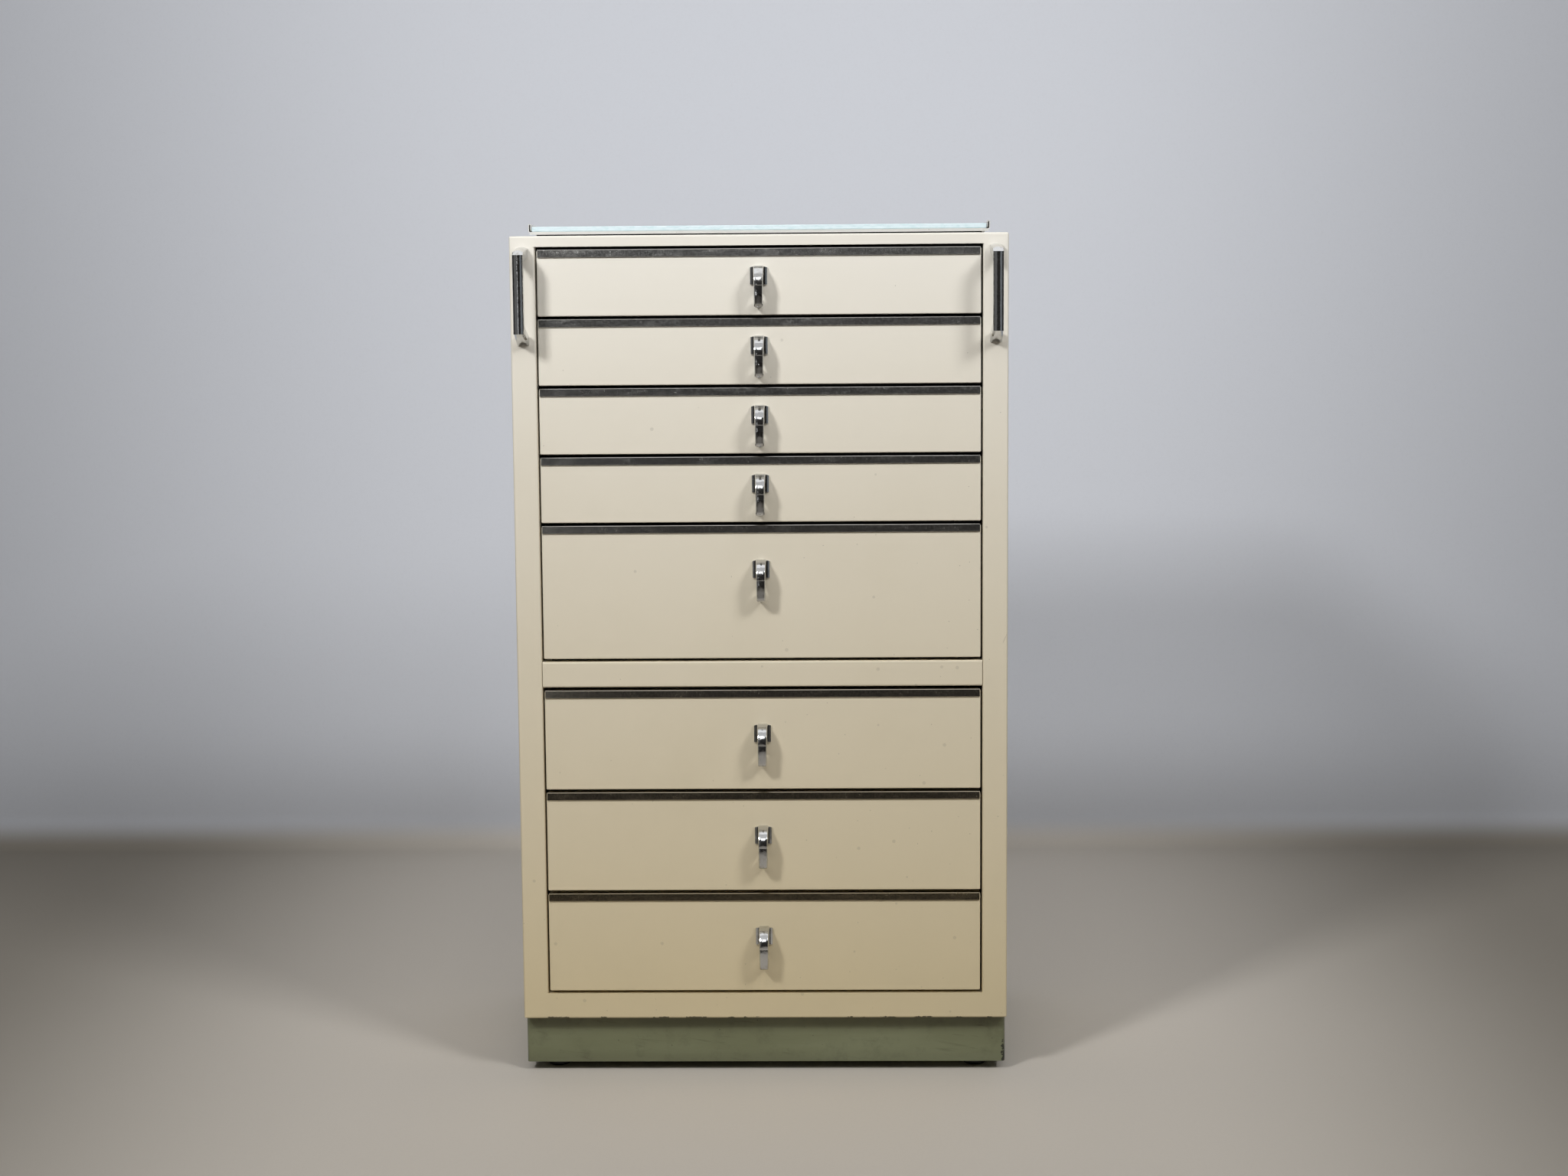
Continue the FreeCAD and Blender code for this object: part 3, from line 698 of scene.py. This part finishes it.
@dataclass(frozen=True)
class PlatedScrew(Finish):
    """Dull plated screws with blotchy stains."""

    name: str = "plated_screw"
    light: Rgba = paint(186, 184, 178)
    dark: Rgba = paint(96, 90, 78)
    shine: float = 0.30
    stain: Grain = Grain(420.0, 3.0, 0.6, (0.46, 0.74), tint=0.7, dull=0.25)
    skin: Grain = Grain(1200.0, 1.0, depth=0.00002)

    def build(self) -> Material:
        """Makes the material.

        Returns:
            The plating.
        """
        graph = ShaderGraph(self.name)
        stain = graph.mask(self.stain)
        colour = graph.mix(stain * self.stain.tint, self.light, self.dark)
        rough = self.shine + stain * self.stain.dull
        return graph.coat(colour, rough, graph.relief(self.skin), metal=1.0)


@dataclass(frozen=True)
class DarkMoulding(Finish):
    """Dark rubber or moulded plastic with a fine grain.

    Attributes:
        name: the material's name.
        dark: its colour.
        worn: colour of its rubbed places.
        shine: roughness where it is new.
        skin: grain of its skin.
    """

    name: str
    dark: Rgba
    worn: Rgba
    shine: float
    skin: Grain
    rub: Grain = Grain(130.0, 3.0, 0.6, (0.50, 0.78), tint=0.6, dull=0.12)

    def build(self) -> Material:
        """Makes the material.

        Returns:
            The moulding's material.
        """
        graph = ShaderGraph(self.name)
        rub = graph.mask(self.rub)
        colour = graph.mix(rub * self.rub.tint, self.dark, self.worn)
        return graph.coat(colour, self.shine + rub * self.rub.dull, graph.relief(self.skin))


@dataclass(frozen=True)
class StudioPaper(Finish):
    """Plain paper of the floor and backdrop, clear from behind so that the back can be seen. The backdrop
    glows with painted light and the floor's sides carry painted shade.

    Attributes:
        floor_fade: distances from the middle at which the floor's painted shade begins and is darkest.
        wall_fade: distances from the middle at which the backdrop's light begins to weaken and is weakest.
        wall_loss: share of its light that the backdrop has lost there.
        turn: heights between which the floor's colour passes into the backdrop's.
        rise: heights at which the backdrop's light begins and is full.
    """

    name: str = "studio_paper"
    floor: Rgba = paint(212, 205, 195)
    floor_side_shade: Rgba = paint(146, 140, 130)
    wall: Rgba = paint(200, 203, 210)
    fibre: Rgba = paint(150, 148, 146)
    glow: float = 0.21
    floor_fade: Pair = (0.45, 1.20)
    wall_fade: Pair = (0.45, 1.60)
    wall_loss: float = 0.8
    turn: Pair = (0.004, 0.05)
    rise: Pair = (0.004, 0.25)
    shine: float = 0.85
    gloss: float = 0.15
    fibres: Grain = Grain(260.0, 3.0, 0.6, (0.45, 0.85), tint=0.06)

    def build(self) -> Material:
        """Makes the material.

        Returns:
            The paper.
        """
        graph = ShaderGraph(self.name)
        across, _, up = graph.split(graph.place())
        # Painted shade: the floor darkens towards the sides.
        ground = graph.mix(abs(across).fade(*self.floor_fade), self.floor, self.floor_side_shade)
        colour = graph.mix(up.fade(*self.turn), ground, self.wall)
        colour = graph.mix(graph.mask(self.fibres) * self.fibres.tint, colour, self.fibre)
        # Painted light: the backdrop glows by emission, fading in above the floor and weakening towards the
        # sides.
        kept = 1 - abs(across).fade(*self.wall_fade) * self.wall_loss
        lit = graph.mix(up.fade(*self.rise) * kept, BLACK, self.wall)
        paper = graph.surface({
            "Base Color": colour, "Roughness": self.shine, "Specular IOR Level": self.gloss,
            "Emission Color": lit, "Emission Strength": self.glow})
        behind = graph.node("ShaderNodeNewGeometry", output="Backfacing")
        return graph.end(graph.blend(behind, paper, graph.node("ShaderNodeBsdfTransparent")))


class FinishSet:
    """The materials of the whole cabinet, each made once."""

    def __init__(self) -> None:
        """Makes the materials."""
        self.outer = Enamel("cream_enamel").build()
        self.inner = Enamel("drawer_enamel", upper=paint(224, 217, 202), lower=paint(220, 210, 188),
                            shine=0.42, marks=0.45, chipped=(0.0045, 0.0)).build()
        self.plinth = PlinthPaint().build()
        self.casting = CastChrome().build()
        self.grip = CastChrome("grip_chrome", belly=0.0).build()
        self.strip = StripChrome().build()
        self.tray = StripChrome("tray_plate", bright=paint(236, 236, 232), dull=paint(216, 214, 208),
                                polish=0.34, haze=0.10, metal=0.4).build()
        self.glass = PlateGlass().build()
        self.zinc = ZincSteel().build()
        self.screw = PlatedScrew().build()
        self.rubber = DarkMoulding("black_rubber", paint(34, 33, 32), paint(62, 60, 57), 0.72,
                                   Grain(700.0, depth=0.00005)).build()
        self.glide = DarkMoulding("black_glide", paint(26, 25, 24), paint(70, 66, 60), 0.45,
                                  Grain(1100.0, depth=0.00005)).build()


class GeometryGraph(NodeGraph):
    """A Geometry Nodes tree with named sizes, which ends in realised and painted geometry."""

    def __init__(self, name: str) -> None:
        """Makes a tree with a geometry going in and out.

        Args:
            name: its name.
        """
        super().__init__(bpy.data.node_groups.new(name, "GeometryNodeTree"))
        for way in ("OUTPUT", "INPUT"):
            self.tree.interface.new_socket("Geometry", in_out=way, socket_type="NodeSocketGeometry")
        self.source = self.tree.nodes.new("NodeGroupInput")

    def size(self, name: str, kind: str = "NodeSocketFloat") -> Signal:
        """Adds a named input of a socket type and gives its value."""
        made = self.tree.interface.new_socket(name, in_out="INPUT", socket_type=kind).identifier
        return Signal(self, next(socket for socket in self.source.outputs if socket.identifier == made))

    def vector(self, across: object = 0.0, along: object = 0.0, up: object = 0.0) -> Signal:
        """Puts a vector together from values or links."""
        return self.node("ShaderNodeCombineXYZ", sockets={"X": across, "Y": along, "Z": up})

    def moved(self, mesh: Signal, to: object, turn: object = UNTURNED) -> Signal:
        """Moves a geometry by a vector or link, and turns it by angles or a link."""
        return self.node("GeometryNodeTransform",
                         sockets={"Geometry": mesh, "Translation": to, "Rotation": turn})

    def cone(self, sides: int, top: Signal, bottom: Signal, depth: Signal) -> Signal:
        """Adds a blunt cone of given sides, radii and height that stands on its base."""
        return self.node("GeometryNodeMeshCone", sockets={
            "Vertices": sides, "Radius Top": top, "Radius Bottom": bottom, "Depth": depth}, output="Mesh")

    def joined(self, how: str, sockets: Mapping[str | int, object]) -> Signal:
        """Adds or cuts meshes exactly."""
        return self.node("GeometryNodeMeshBoolean", {"operation": how, "solver": "EXACT"}, sockets)

    def set_out(self, points: Signal, shape: Signal) -> Signal:
        """Puts a shape on each point, its top towards the rear."""
        return self.node("GeometryNodeInstanceOnPoints", sockets={
            "Points": points, "Instance": shape, "Rotation": (-QUARTER_TURN, 0.0, 0.0)})

    def end(self, geometry: Signal) -> None:
        """Realises the instances, paints them and links the tree's output.

        Args:
            geometry: what the tree makes.
        """
        real = self.node("GeometryNodeRealizeInstances", sockets={"Geometry": geometry})
        painted = self.node("GeometryNodeSetMaterial", sockets={
            "Geometry": real, "Material": self.size("Finish", "NodeSocketMaterial")})
        self.tree.links.new(painted.socket, self.tree.nodes.new("NodeGroupOutput").inputs["Geometry"])

    def piece(self, name: str, points: Sequence[Triple], sizes: Mapping[str, object]) -> bpy.types.Object:
        """Runs the tree once and keeps its result as a plain mesh.

        Args:
            name: the new object's name.
            points: points that go into the tree.
            sizes: values of the tree's inputs by their names.

        Returns:
            An object at the origin with the finished mesh.
        """
        seats = bpy.data.meshes.new(f"{name}_seats")
        seats.from_pydata(points, [], [])
        made = bpy.data.objects.new(name, seats)
        bpy.context.scene.collection.objects.link(made)
        modifier = made.modifiers.new("shape", "NODES")
        modifier.node_group = self.tree
        for item in self.tree.interface.items_tree:
            if item.in_out == "INPUT" and item.name in sizes:
                modifier[item.identifier] = sizes[item.name]
        bpy.context.view_layer.update()
        ready = made.evaluated_get(bpy.context.evaluated_depsgraph_get())
        mesh = bpy.data.meshes.new_from_object(ready)
        mesh.name = name
        made.modifiers.clear()
        made.data = mesh
        bpy.data.meshes.remove(seats)
        return made


class ScrewTree(GeometryGraph):
    """Slotted screws on points, heads towards the rear, each slot turned by chance."""

    head_sides = 24
    shank_sides = 16
    shank_overlap = 0.0002
    slot_reach = 3.0

    def __init__(self, seed: int = 7) -> None:
        """Builds the tree.

        Args:
            seed: fixed seed of the slots' turns.
        """
        super().__init__("slotted_screws")
        head_radius, crown_radius = self.size("Head Radius"), self.size("Crown Radius")
        head_height, shoulder = self.size("Head Height"), self.size("Shoulder Height")
        shank_radius, shank_length = self.size("Shank Radius"), self.size("Shank Length")
        slot_width, slot_depth = self.size("Slot Width"), self.size("Slot Depth")
        skirt = self.cone(self.head_sides, head_radius, head_radius, shoulder)
        crown = self.cone(self.head_sides, crown_radius, head_radius, head_height - shoulder)
        crown = self.moved(crown, self.vector(up=shoulder))
        shank = self.node("GeometryNodeMeshCylinder", sockets={
            "Vertices": self.shank_sides, "Radius": shank_radius, "Depth": shank_length}, output="Mesh")
        shank = self.moved(shank, self.vector(up=shank_length * -0.5 + self.shank_overlap))
        whole = self.joined("UNION", {"Mesh 2": [skirt, crown, shank]})
        slot = self.node("GeometryNodeMeshCube", sockets={
            "Size": self.vector(head_radius * self.slot_reach, slot_width, slot_depth * 2.0)}, output="Mesh")
        slot = self.moved(slot, self.vector(up=head_height))
        screw = self.joined("DIFFERENCE", {"Mesh 1": whole, "Mesh 2": [slot]})
        spin = self.node("FunctionNodeRandomValue", {"data_type": "FLOAT"}, {
            RANDOM_LEAST: 0.0, RANDOM_MOST: math.pi, RANDOM_SEED: seed}, RANDOM_RESULT)
        seats = Signal(self, self.source.outputs["Geometry"])
        self.end(self.node("GeometryNodeRotateInstances", sockets={
            "Instances": self.set_out(seats, screw), "Rotation": self.vector(up=spin), "Local Space": True}))


class WeldTree(GeometryGraph):
    """Rows of shallow weld spots on a wall that faces the rear."""

    sides = 14

    def __init__(self) -> None:
        """Builds the tree."""
        super().__init__("weld_spots")
        width, height = self.size("Row Length"), self.size("Row Spacing")
        columns, rows = self.size("Columns", "NodeSocketInt"), self.size("Rows", "NodeSocketInt")
        middle = self.size("Middle", "NodeSocketVector")
        radius, dome, rise = self.size("Spot Radius"), self.size("Dome Radius"), self.size("Spot Height")
        grid = self.node("GeometryNodeMeshGrid", sockets={
            "Size X": width, "Size Y": height, "Vertices X": columns, "Vertices Y": rows}, output="Mesh")
        wall = self.moved(grid, middle, (QUARTER_TURN, 0.0, 0.0))
        self.end(self.set_out(wall, self.cone(self.sides, dome, radius, rise)))


@dataclass
class Trees:
    """The Geometry Nodes trees, each built once."""

    screws: ScrewTree = field(default_factory=ScrewTree)
    welds: WeldTree = field(default_factory=WeldTree)


def islands(node: str) -> list[tuple[Vector, Vector]]:
    """Finds the separate solids in a CAD node.

    Args:
        node: the node's name.

    Returns:
        The lowest and highest corner of each solid.
    """
    shape = bmesh.new()
    shape.from_mesh(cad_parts[node].data)
    bmesh.ops.remove_doubles(shape, verts=shape.verts[:], dist=SAME_POINT)
    waiting = set(shape.verts)
    boxes = []
    while waiting:
        reached = [waiting.pop()]
        points = []
        while reached:
            vert = reached.pop()
            points.append(vert.co.copy())
            for link in vert.link_edges:
                other = link.other_vert(vert)
                if other in waiting:
                    waiting.remove(other)
                    reached.append(other)
        boxes.append((Vector(map(min, zip(*points))), Vector(map(max, zip(*points)))))
    shape.free()
    return sorted(boxes, key=lambda box: tuple(round(value, SORT_DIGITS) for value in box[0]))


@dataclass
class SlottedScrews:
    """Slotted screws that take the place of a node's plain ones.

    Attributes:
        node: the CAD node with the plain screws.
        body: the body that they ride on.
        shoulder: share of the head's height below its crown.
        crown: share of the head's radius at its top.
    """

    node: str
    body: str
    head_height: float = 0.002
    shank_radius: float = 0.00175
    shoulder: float = 0.45
    crown: float = 0.74
    slot_width: float = 0.0011
    slot_depth: float = 0.0011

    def build(self, trees: Trees, finishes: FinishSet) -> str:
        """Makes the screws where the CAD has them.

        Args:
            trees: the Geometry Nodes trees.
            finishes: the materials.

        Returns:
            The piece's name.
        """
        boxes = islands(self.node)
        low, high = boxes[0]
        seats = [((a.x + b.x) / 2, b.y - self.head_height, (a.z + b.z) / 2) for a, b in boxes]
        radius = (high.x - low.x) / 2
        piece = trees.screws.piece(f"{self.node}_slotted", seats, {
            "Head Radius": radius, "Crown Radius": radius * self.crown, "Head Height": self.head_height,
            "Shoulder Height": self.head_height * self.shoulder, "Shank Radius": self.shank_radius,
            "Shank Length": high.y - low.y - self.head_height, "Slot Width": self.slot_width,
            "Slot Depth": self.slot_depth, "Finish": finishes.screw})
        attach(piece, self.body)
        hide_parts(self.node)
        return piece.name


class Assembly(ABC):
    """A sub-assembly that dresses its CAD nodes and makes what they lack."""

    def build(self, trees: Trees, finishes: FinishSet) -> Iterator[str]:
        """Dresses the nodes and makes the new pieces.

        Args:
            trees: the Geometry Nodes trees.
            finishes: the materials.

        Yields:
            The name of each piece that is done.
        """
        for node, material in self.coats(finishes).items():
            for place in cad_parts[node].material_slots:
                place.material = material
            yield node
        yield from self.extras(trees, finishes)

    @abstractmethod
    def coats(self, finishes: FinishSet) -> dict[str, Material]:
        """Gives each CAD node's finish."""

    def extras(self, trees: Trees, finishes: FinishSet) -> Iterator[str]:
        """Makes the new pieces, none unless a sub-assembly has some."""
        yield from ()


@dataclass
class Carcass(Assembly):
    """The folded steel shell with its back, middle rail and stile grips."""

    body: str = "carcass"
    sheets: tuple[str, ...] = ("left_side_panel", "right_side_panel", "top_panel", "base_panel", "mid_rail",
                               "back_panel")
    grips: tuple[str, ...] = ("left_grip", "right_grip")
    screw_nodes: tuple[str, ...] = ("back_screws", "grip_screws")

    def coats(self, finishes: FinishSet) -> dict[str, Material]:
        """Gives the sheets and the grips their finishes."""
        return dict.fromkeys(self.sheets, finishes.outer) | dict.fromkeys(self.grips, finishes.grip)

    def extras(self, trees: Trees, finishes: FinishSet) -> Iterator[str]:
        """Makes the screws of the back and the grips."""
        for node in self.screw_nodes:
            yield SlottedScrews(node, self.body).build(trees, finishes)


@dataclass
class RunnerGear(Assembly):
    """Posts, channel runners and rubber buffers that carry and stop the drawers."""

    steel: tuple[str, ...] = ("left_runner_posts", "right_runner_posts", "left_runners", "right_runners")
    buffers: str = "drawer_buffers"

    def coats(self, finishes: FinishSet) -> dict[str, Material]:
        """Gives the steel and the rubber their finishes."""
        return dict.fromkeys(self.steel, finishes.zinc) | {self.buffers: finishes.rubber}


@dataclass
class Base(Assembly):
    """The recessed plinth on its glides."""

    plinth: str = "plinth"
    glides: str = "floor_glides"

    def coats(self, finishes: FinishSet) -> dict[str, Material]:
        """Gives the plinth and the glides their finishes."""
        return {self.plinth: finishes.plinth, self.glides: finishes.glide}


@dataclass
class Worktop(Assembly):
    """The glass plate in its hemmed tray, on rubber pads."""

    tray: str = "glass_tray"
    glass: str = "glass_top"
    pads: str = "tray_pads"

    def coats(self, finishes: FinishSet) -> dict[str, Material]:
        """Gives the tray, the glass and the pads their finishes."""
        return {self.tray: finishes.tray, self.glass: finishes.glass, self.pads: finishes.rubber}


@dataclass
class Drawer(Assembly):
    """One drawer: enamelled front and box, chrome strip, cast pull, screws and weld spots.

    Attributes:
        number: its place from the top.
        sheet: thickness of the box's sheet.
        weld_sink: how deep the spots sit in the sheet.
        weld_inset: distance of the weld rows from the box's upper and lower edge.
        weld_margin: distance of the outer spots from the box's sides.
        weld_columns: spots in a row, an even number so that none lies on the slot in the middle.
    """

    number: int
    sheet: float = 0.001
    weld_sink: float = 0.0001
    weld_inset: float = 0.009
    weld_margin: float = 0.035
    weld_columns: int = 8
    weld_rows: int = 2
    spot_radius: float = 0.0024
    spot_dome: float = 0.0015
    spot_height: float = 0.0004

    @property
    def body(self) -> str:
        """The drawer's body."""
        return f"drawer_{self.number}"

    def coats(self, finishes: FinishSet) -> dict[str, Material]:
        """Gives the front, box, strip and pull their finishes."""
        return {f"{self.body}_front": finishes.outer, f"{self.body}_box": finishes.inner,
                f"{self.body}_trim": finishes.strip, f"{self.body}_pull": finishes.casting}

    def extras(self, trees: Trees, finishes: FinishSet) -> Iterator[str]:
        """Makes the pull's screws and the weld spots."""
        yield SlottedScrews(f"{self.body}_screws", self.body).build(trees, finishes)
        yield self.weld_spots(trees, finishes)

    def weld_spots(self, trees: Trees, finishes: FinishSet) -> str:
        """Makes the weld spots that hold the box to the front.

        Args:
            trees: the Geometry Nodes trees.
            finishes: the materials.

        Returns:
            The piece's name.
        """
        low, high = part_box(f"{self.body}_box")
        wall = low[1] + self.sheet - self.weld_sink
        half = min(-low[0], high[0]) - self.weld_margin
        piece = trees.welds.piece(f"{self.body}_weld_spots", [], {
            "Row Length": 2 * half, "Row Spacing": high[2] - low[2] - 2 * self.weld_inset,
            "Columns": self.weld_columns, "Rows": self.weld_rows,
            "Middle": (0.0, wall, (low[2] + high[2]) / 2), "Spot Radius": self.spot_radius,
            "Dome Radius": self.spot_dome, "Spot Height": self.spot_height, "Finish": finishes.inner})
        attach(piece, self.body)
        return piece.name


@dataclass(frozen=True)
class Lamp:
    """One area lamp.

    Attributes:
        name: its name.
        place: where it hangs.
        aim: the point that it is turned to.
        size: its width and height.
        power: its power in watts.
        spread: the angle that its light fills, in degrees.
        tint: the colour of its light.
        card: whether it is a pale card, which only polished surfaces show.
    """

    name: str
    place: Triple
    aim: Triple
    size: Pair
    power: float
    spread: float = 180.0
    tint: Triple = (1.0, 1.0, 1.0)
    card: bool = False

    def build(self) -> None:
        """Hangs the lamp."""
        light = bpy.data.lights.new(self.name, "AREA")
        light.shape = "RECTANGLE"
        light.size, light.size_y = self.size
        light.energy = self.power
        light.color = self.tint
        light.spread = math.radians(self.spread)
        made = bpy.data.objects.new(self.name, light)
        made.visible_diffuse = not self.card
        made.location = self.place
        made.rotation_euler = (Vector(self.aim) - Vector(self.place)).to_track_quat("-Z", "Y").to_euler()
        bpy.context.scene.collection.objects.link(made)


@dataclass
class Studio:
    """Paper floor and backdrop, lamps, world and the camera.

    Attributes:
        cove: radius of the paper's bend from floor to backdrop.
        pitch: how far the camera looks down, in radians.
        yaw: how far it looks aside, in radians.
        roll: how far it leans, in radians.
        focal_pixels: its focal length in pixels of an image of image_width.
    """

    floor_front: float = -14.0
    wall_back: float = 1.14
    half_width: float = 6.0
    wall_height: float = 3.0
    cove: float = 0.06
    cove_steps: int = 8
    world_light: Rgba = (0.027, 0.025, 0.023, 1.0)
    camera_place: Triple = (0.0802, -2.9652, 0.9114)
    pitch: float = 0.1078
    yaw: float = 0.0189
    roll: float = -0.0076
    focal_pixels: float = 3000.0
    image_width: int = 2048
    sensor_width: float = 36.0
    lamps: tuple[Lamp, ...] = (
        Lamp("key_left", (-1.73, -2.585, 2.65), (0.0, 0.3, 1.5), (0.50, 0.50), 18.0, 90.0),
        Lamp("key_right", (2.40, -2.585, 3.13), (0.0, 0.3, 1.5), (0.95, 0.95), 18.0, 90.0),
        Lamp("front_fill", (0.0, -4.2, 3.5), (0.0, 0.0, 0.9), (2.6, 1.2), 23.3),
        Lamp("overhead", (0.0, -2.4, 3.7), (0.0, -1.6, 0.0), (4.5, 2.6), 24.0),
        Lamp("left_strip", (-0.80, -3.0, 0.91), (-0.27, -0.2, 0.91), (0.14, 0.42), 0.0066, 20.0),
        Lamp("ceiling_card", (0.0, 0.4, 3.7), (0.0, 0.4, 0.0), (4.5, 3.0), 50.0, card=True),
        Lamp("left_card", (-2.45, -2.25, 1.0), (0.0, -0.2, 1.0), (3.4, 1.6), 2.05, card=True),
        Lamp("right_card", (2.62, -2.03, 1.05), (0.0, -0.2, 1.0), (2.2, 1.6), 2.2,
             tint=(0.85, 0.93, 1.0), card=True),
    )

    def build(self) -> None:
        """Sets up the whole studio."""
        self.sweep()
        for lamp in self.lamps:
            lamp.build()
        self.world()
        self.camera()
        bpy.context.scene.view_settings.view_transform = "Standard"

    def profile(self) -> list[Pair]:
        """Works out the paper's side view.

        Returns:
            Points from the floor's front edge to the wall's top, as depth and height.
        """
        middle = self.wall_back - self.cove
        bend = [(middle + self.cove * math.sin(turn), self.cove * (1 - math.cos(turn)))
                for turn in (QUARTER_TURN * step / self.cove_steps for step in range(self.cove_steps + 1))]
        return [(self.floor_front, 0.0), *bend, (self.wall_back, self.wall_height)]

    def sweep(self) -> None:
        """Makes the floor and backdrop in one sheet of paper."""
        shape = bmesh.new()
        rows = [[shape.verts.new((side * self.half_width, depth, height)) for side in (-1, 1)]
                for depth, height in self.profile()]
        for (left, right), (next_left, next_right) in zip(rows, rows[1:]):
            shape.faces.new((left, right, next_right, next_left)).smooth = True
        mesh = bpy.data.meshes.new("studio_paper")
        shape.to_mesh(mesh)
        shape.free()
        mesh.materials.append(StudioPaper().build())
        made = bpy.data.objects.new("studio_paper", mesh)
        bpy.context.scene.collection.objects.link(made)
        made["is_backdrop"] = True

    def world(self) -> None:
        """Gives the room its dim even light."""
        graph = ShaderGraph("dim_room", world=True)
        glow = graph.node("ShaderNodeBackground", sockets={"Color": self.world_light})
        bpy.context.scene.world = graph.end(glow)

    def camera(self) -> None:
        """Sets the camera where the photograph was taken."""
        data = bpy.data.cameras.new("camera")
        data.sensor_width = self.sensor_width
        data.lens = self.focal_pixels / self.image_width * self.sensor_width
        made = bpy.data.objects.new("camera", data)
        level = Matrix(((1, 0, 0), (0, 0, -1), (0, 1, 0)))
        right, down, ahead = (Matrix.Rotation(self.roll, 3, "Z") @ Matrix.Rotation(self.pitch, 3, "X")
                              @ Matrix.Rotation(self.yaw, 3, "Y") @ level)
        turn = Matrix((right, -down, -ahead)).transposed()
        made.matrix_world = Matrix.Translation(self.camera_place) @ turn.to_4x4()
        bpy.context.scene.collection.objects.link(made)
        bpy.context.scene.camera = made


def write_sizes() -> None:
    """Works out the CAD box and the dressed model's box."""
    boxes = {"cad": CAD_BOX, "visual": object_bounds()}
    lists = {name: [[float(value) for value in corner] for corner in box] for name, box in boxes.items()}


def main() -> None:
    """Builds every sub-assembly in order and then the studio."""
    logging.basicConfig(level=logging.INFO, format="%(name)s: %(message)s")
    finishes = FinishSet()
    trees = Trees()
    for assembly in (Carcass(), RunnerGear(), Base(), Worktop(), *map(Drawer, DRAWERS)):
        for piece in assembly.build(trees, finishes):
            LOG.info("%s: %s done", type(assembly).__name__, piece)
    Studio().build()
    write_sizes()


if __name__ == "__main__":
    main()
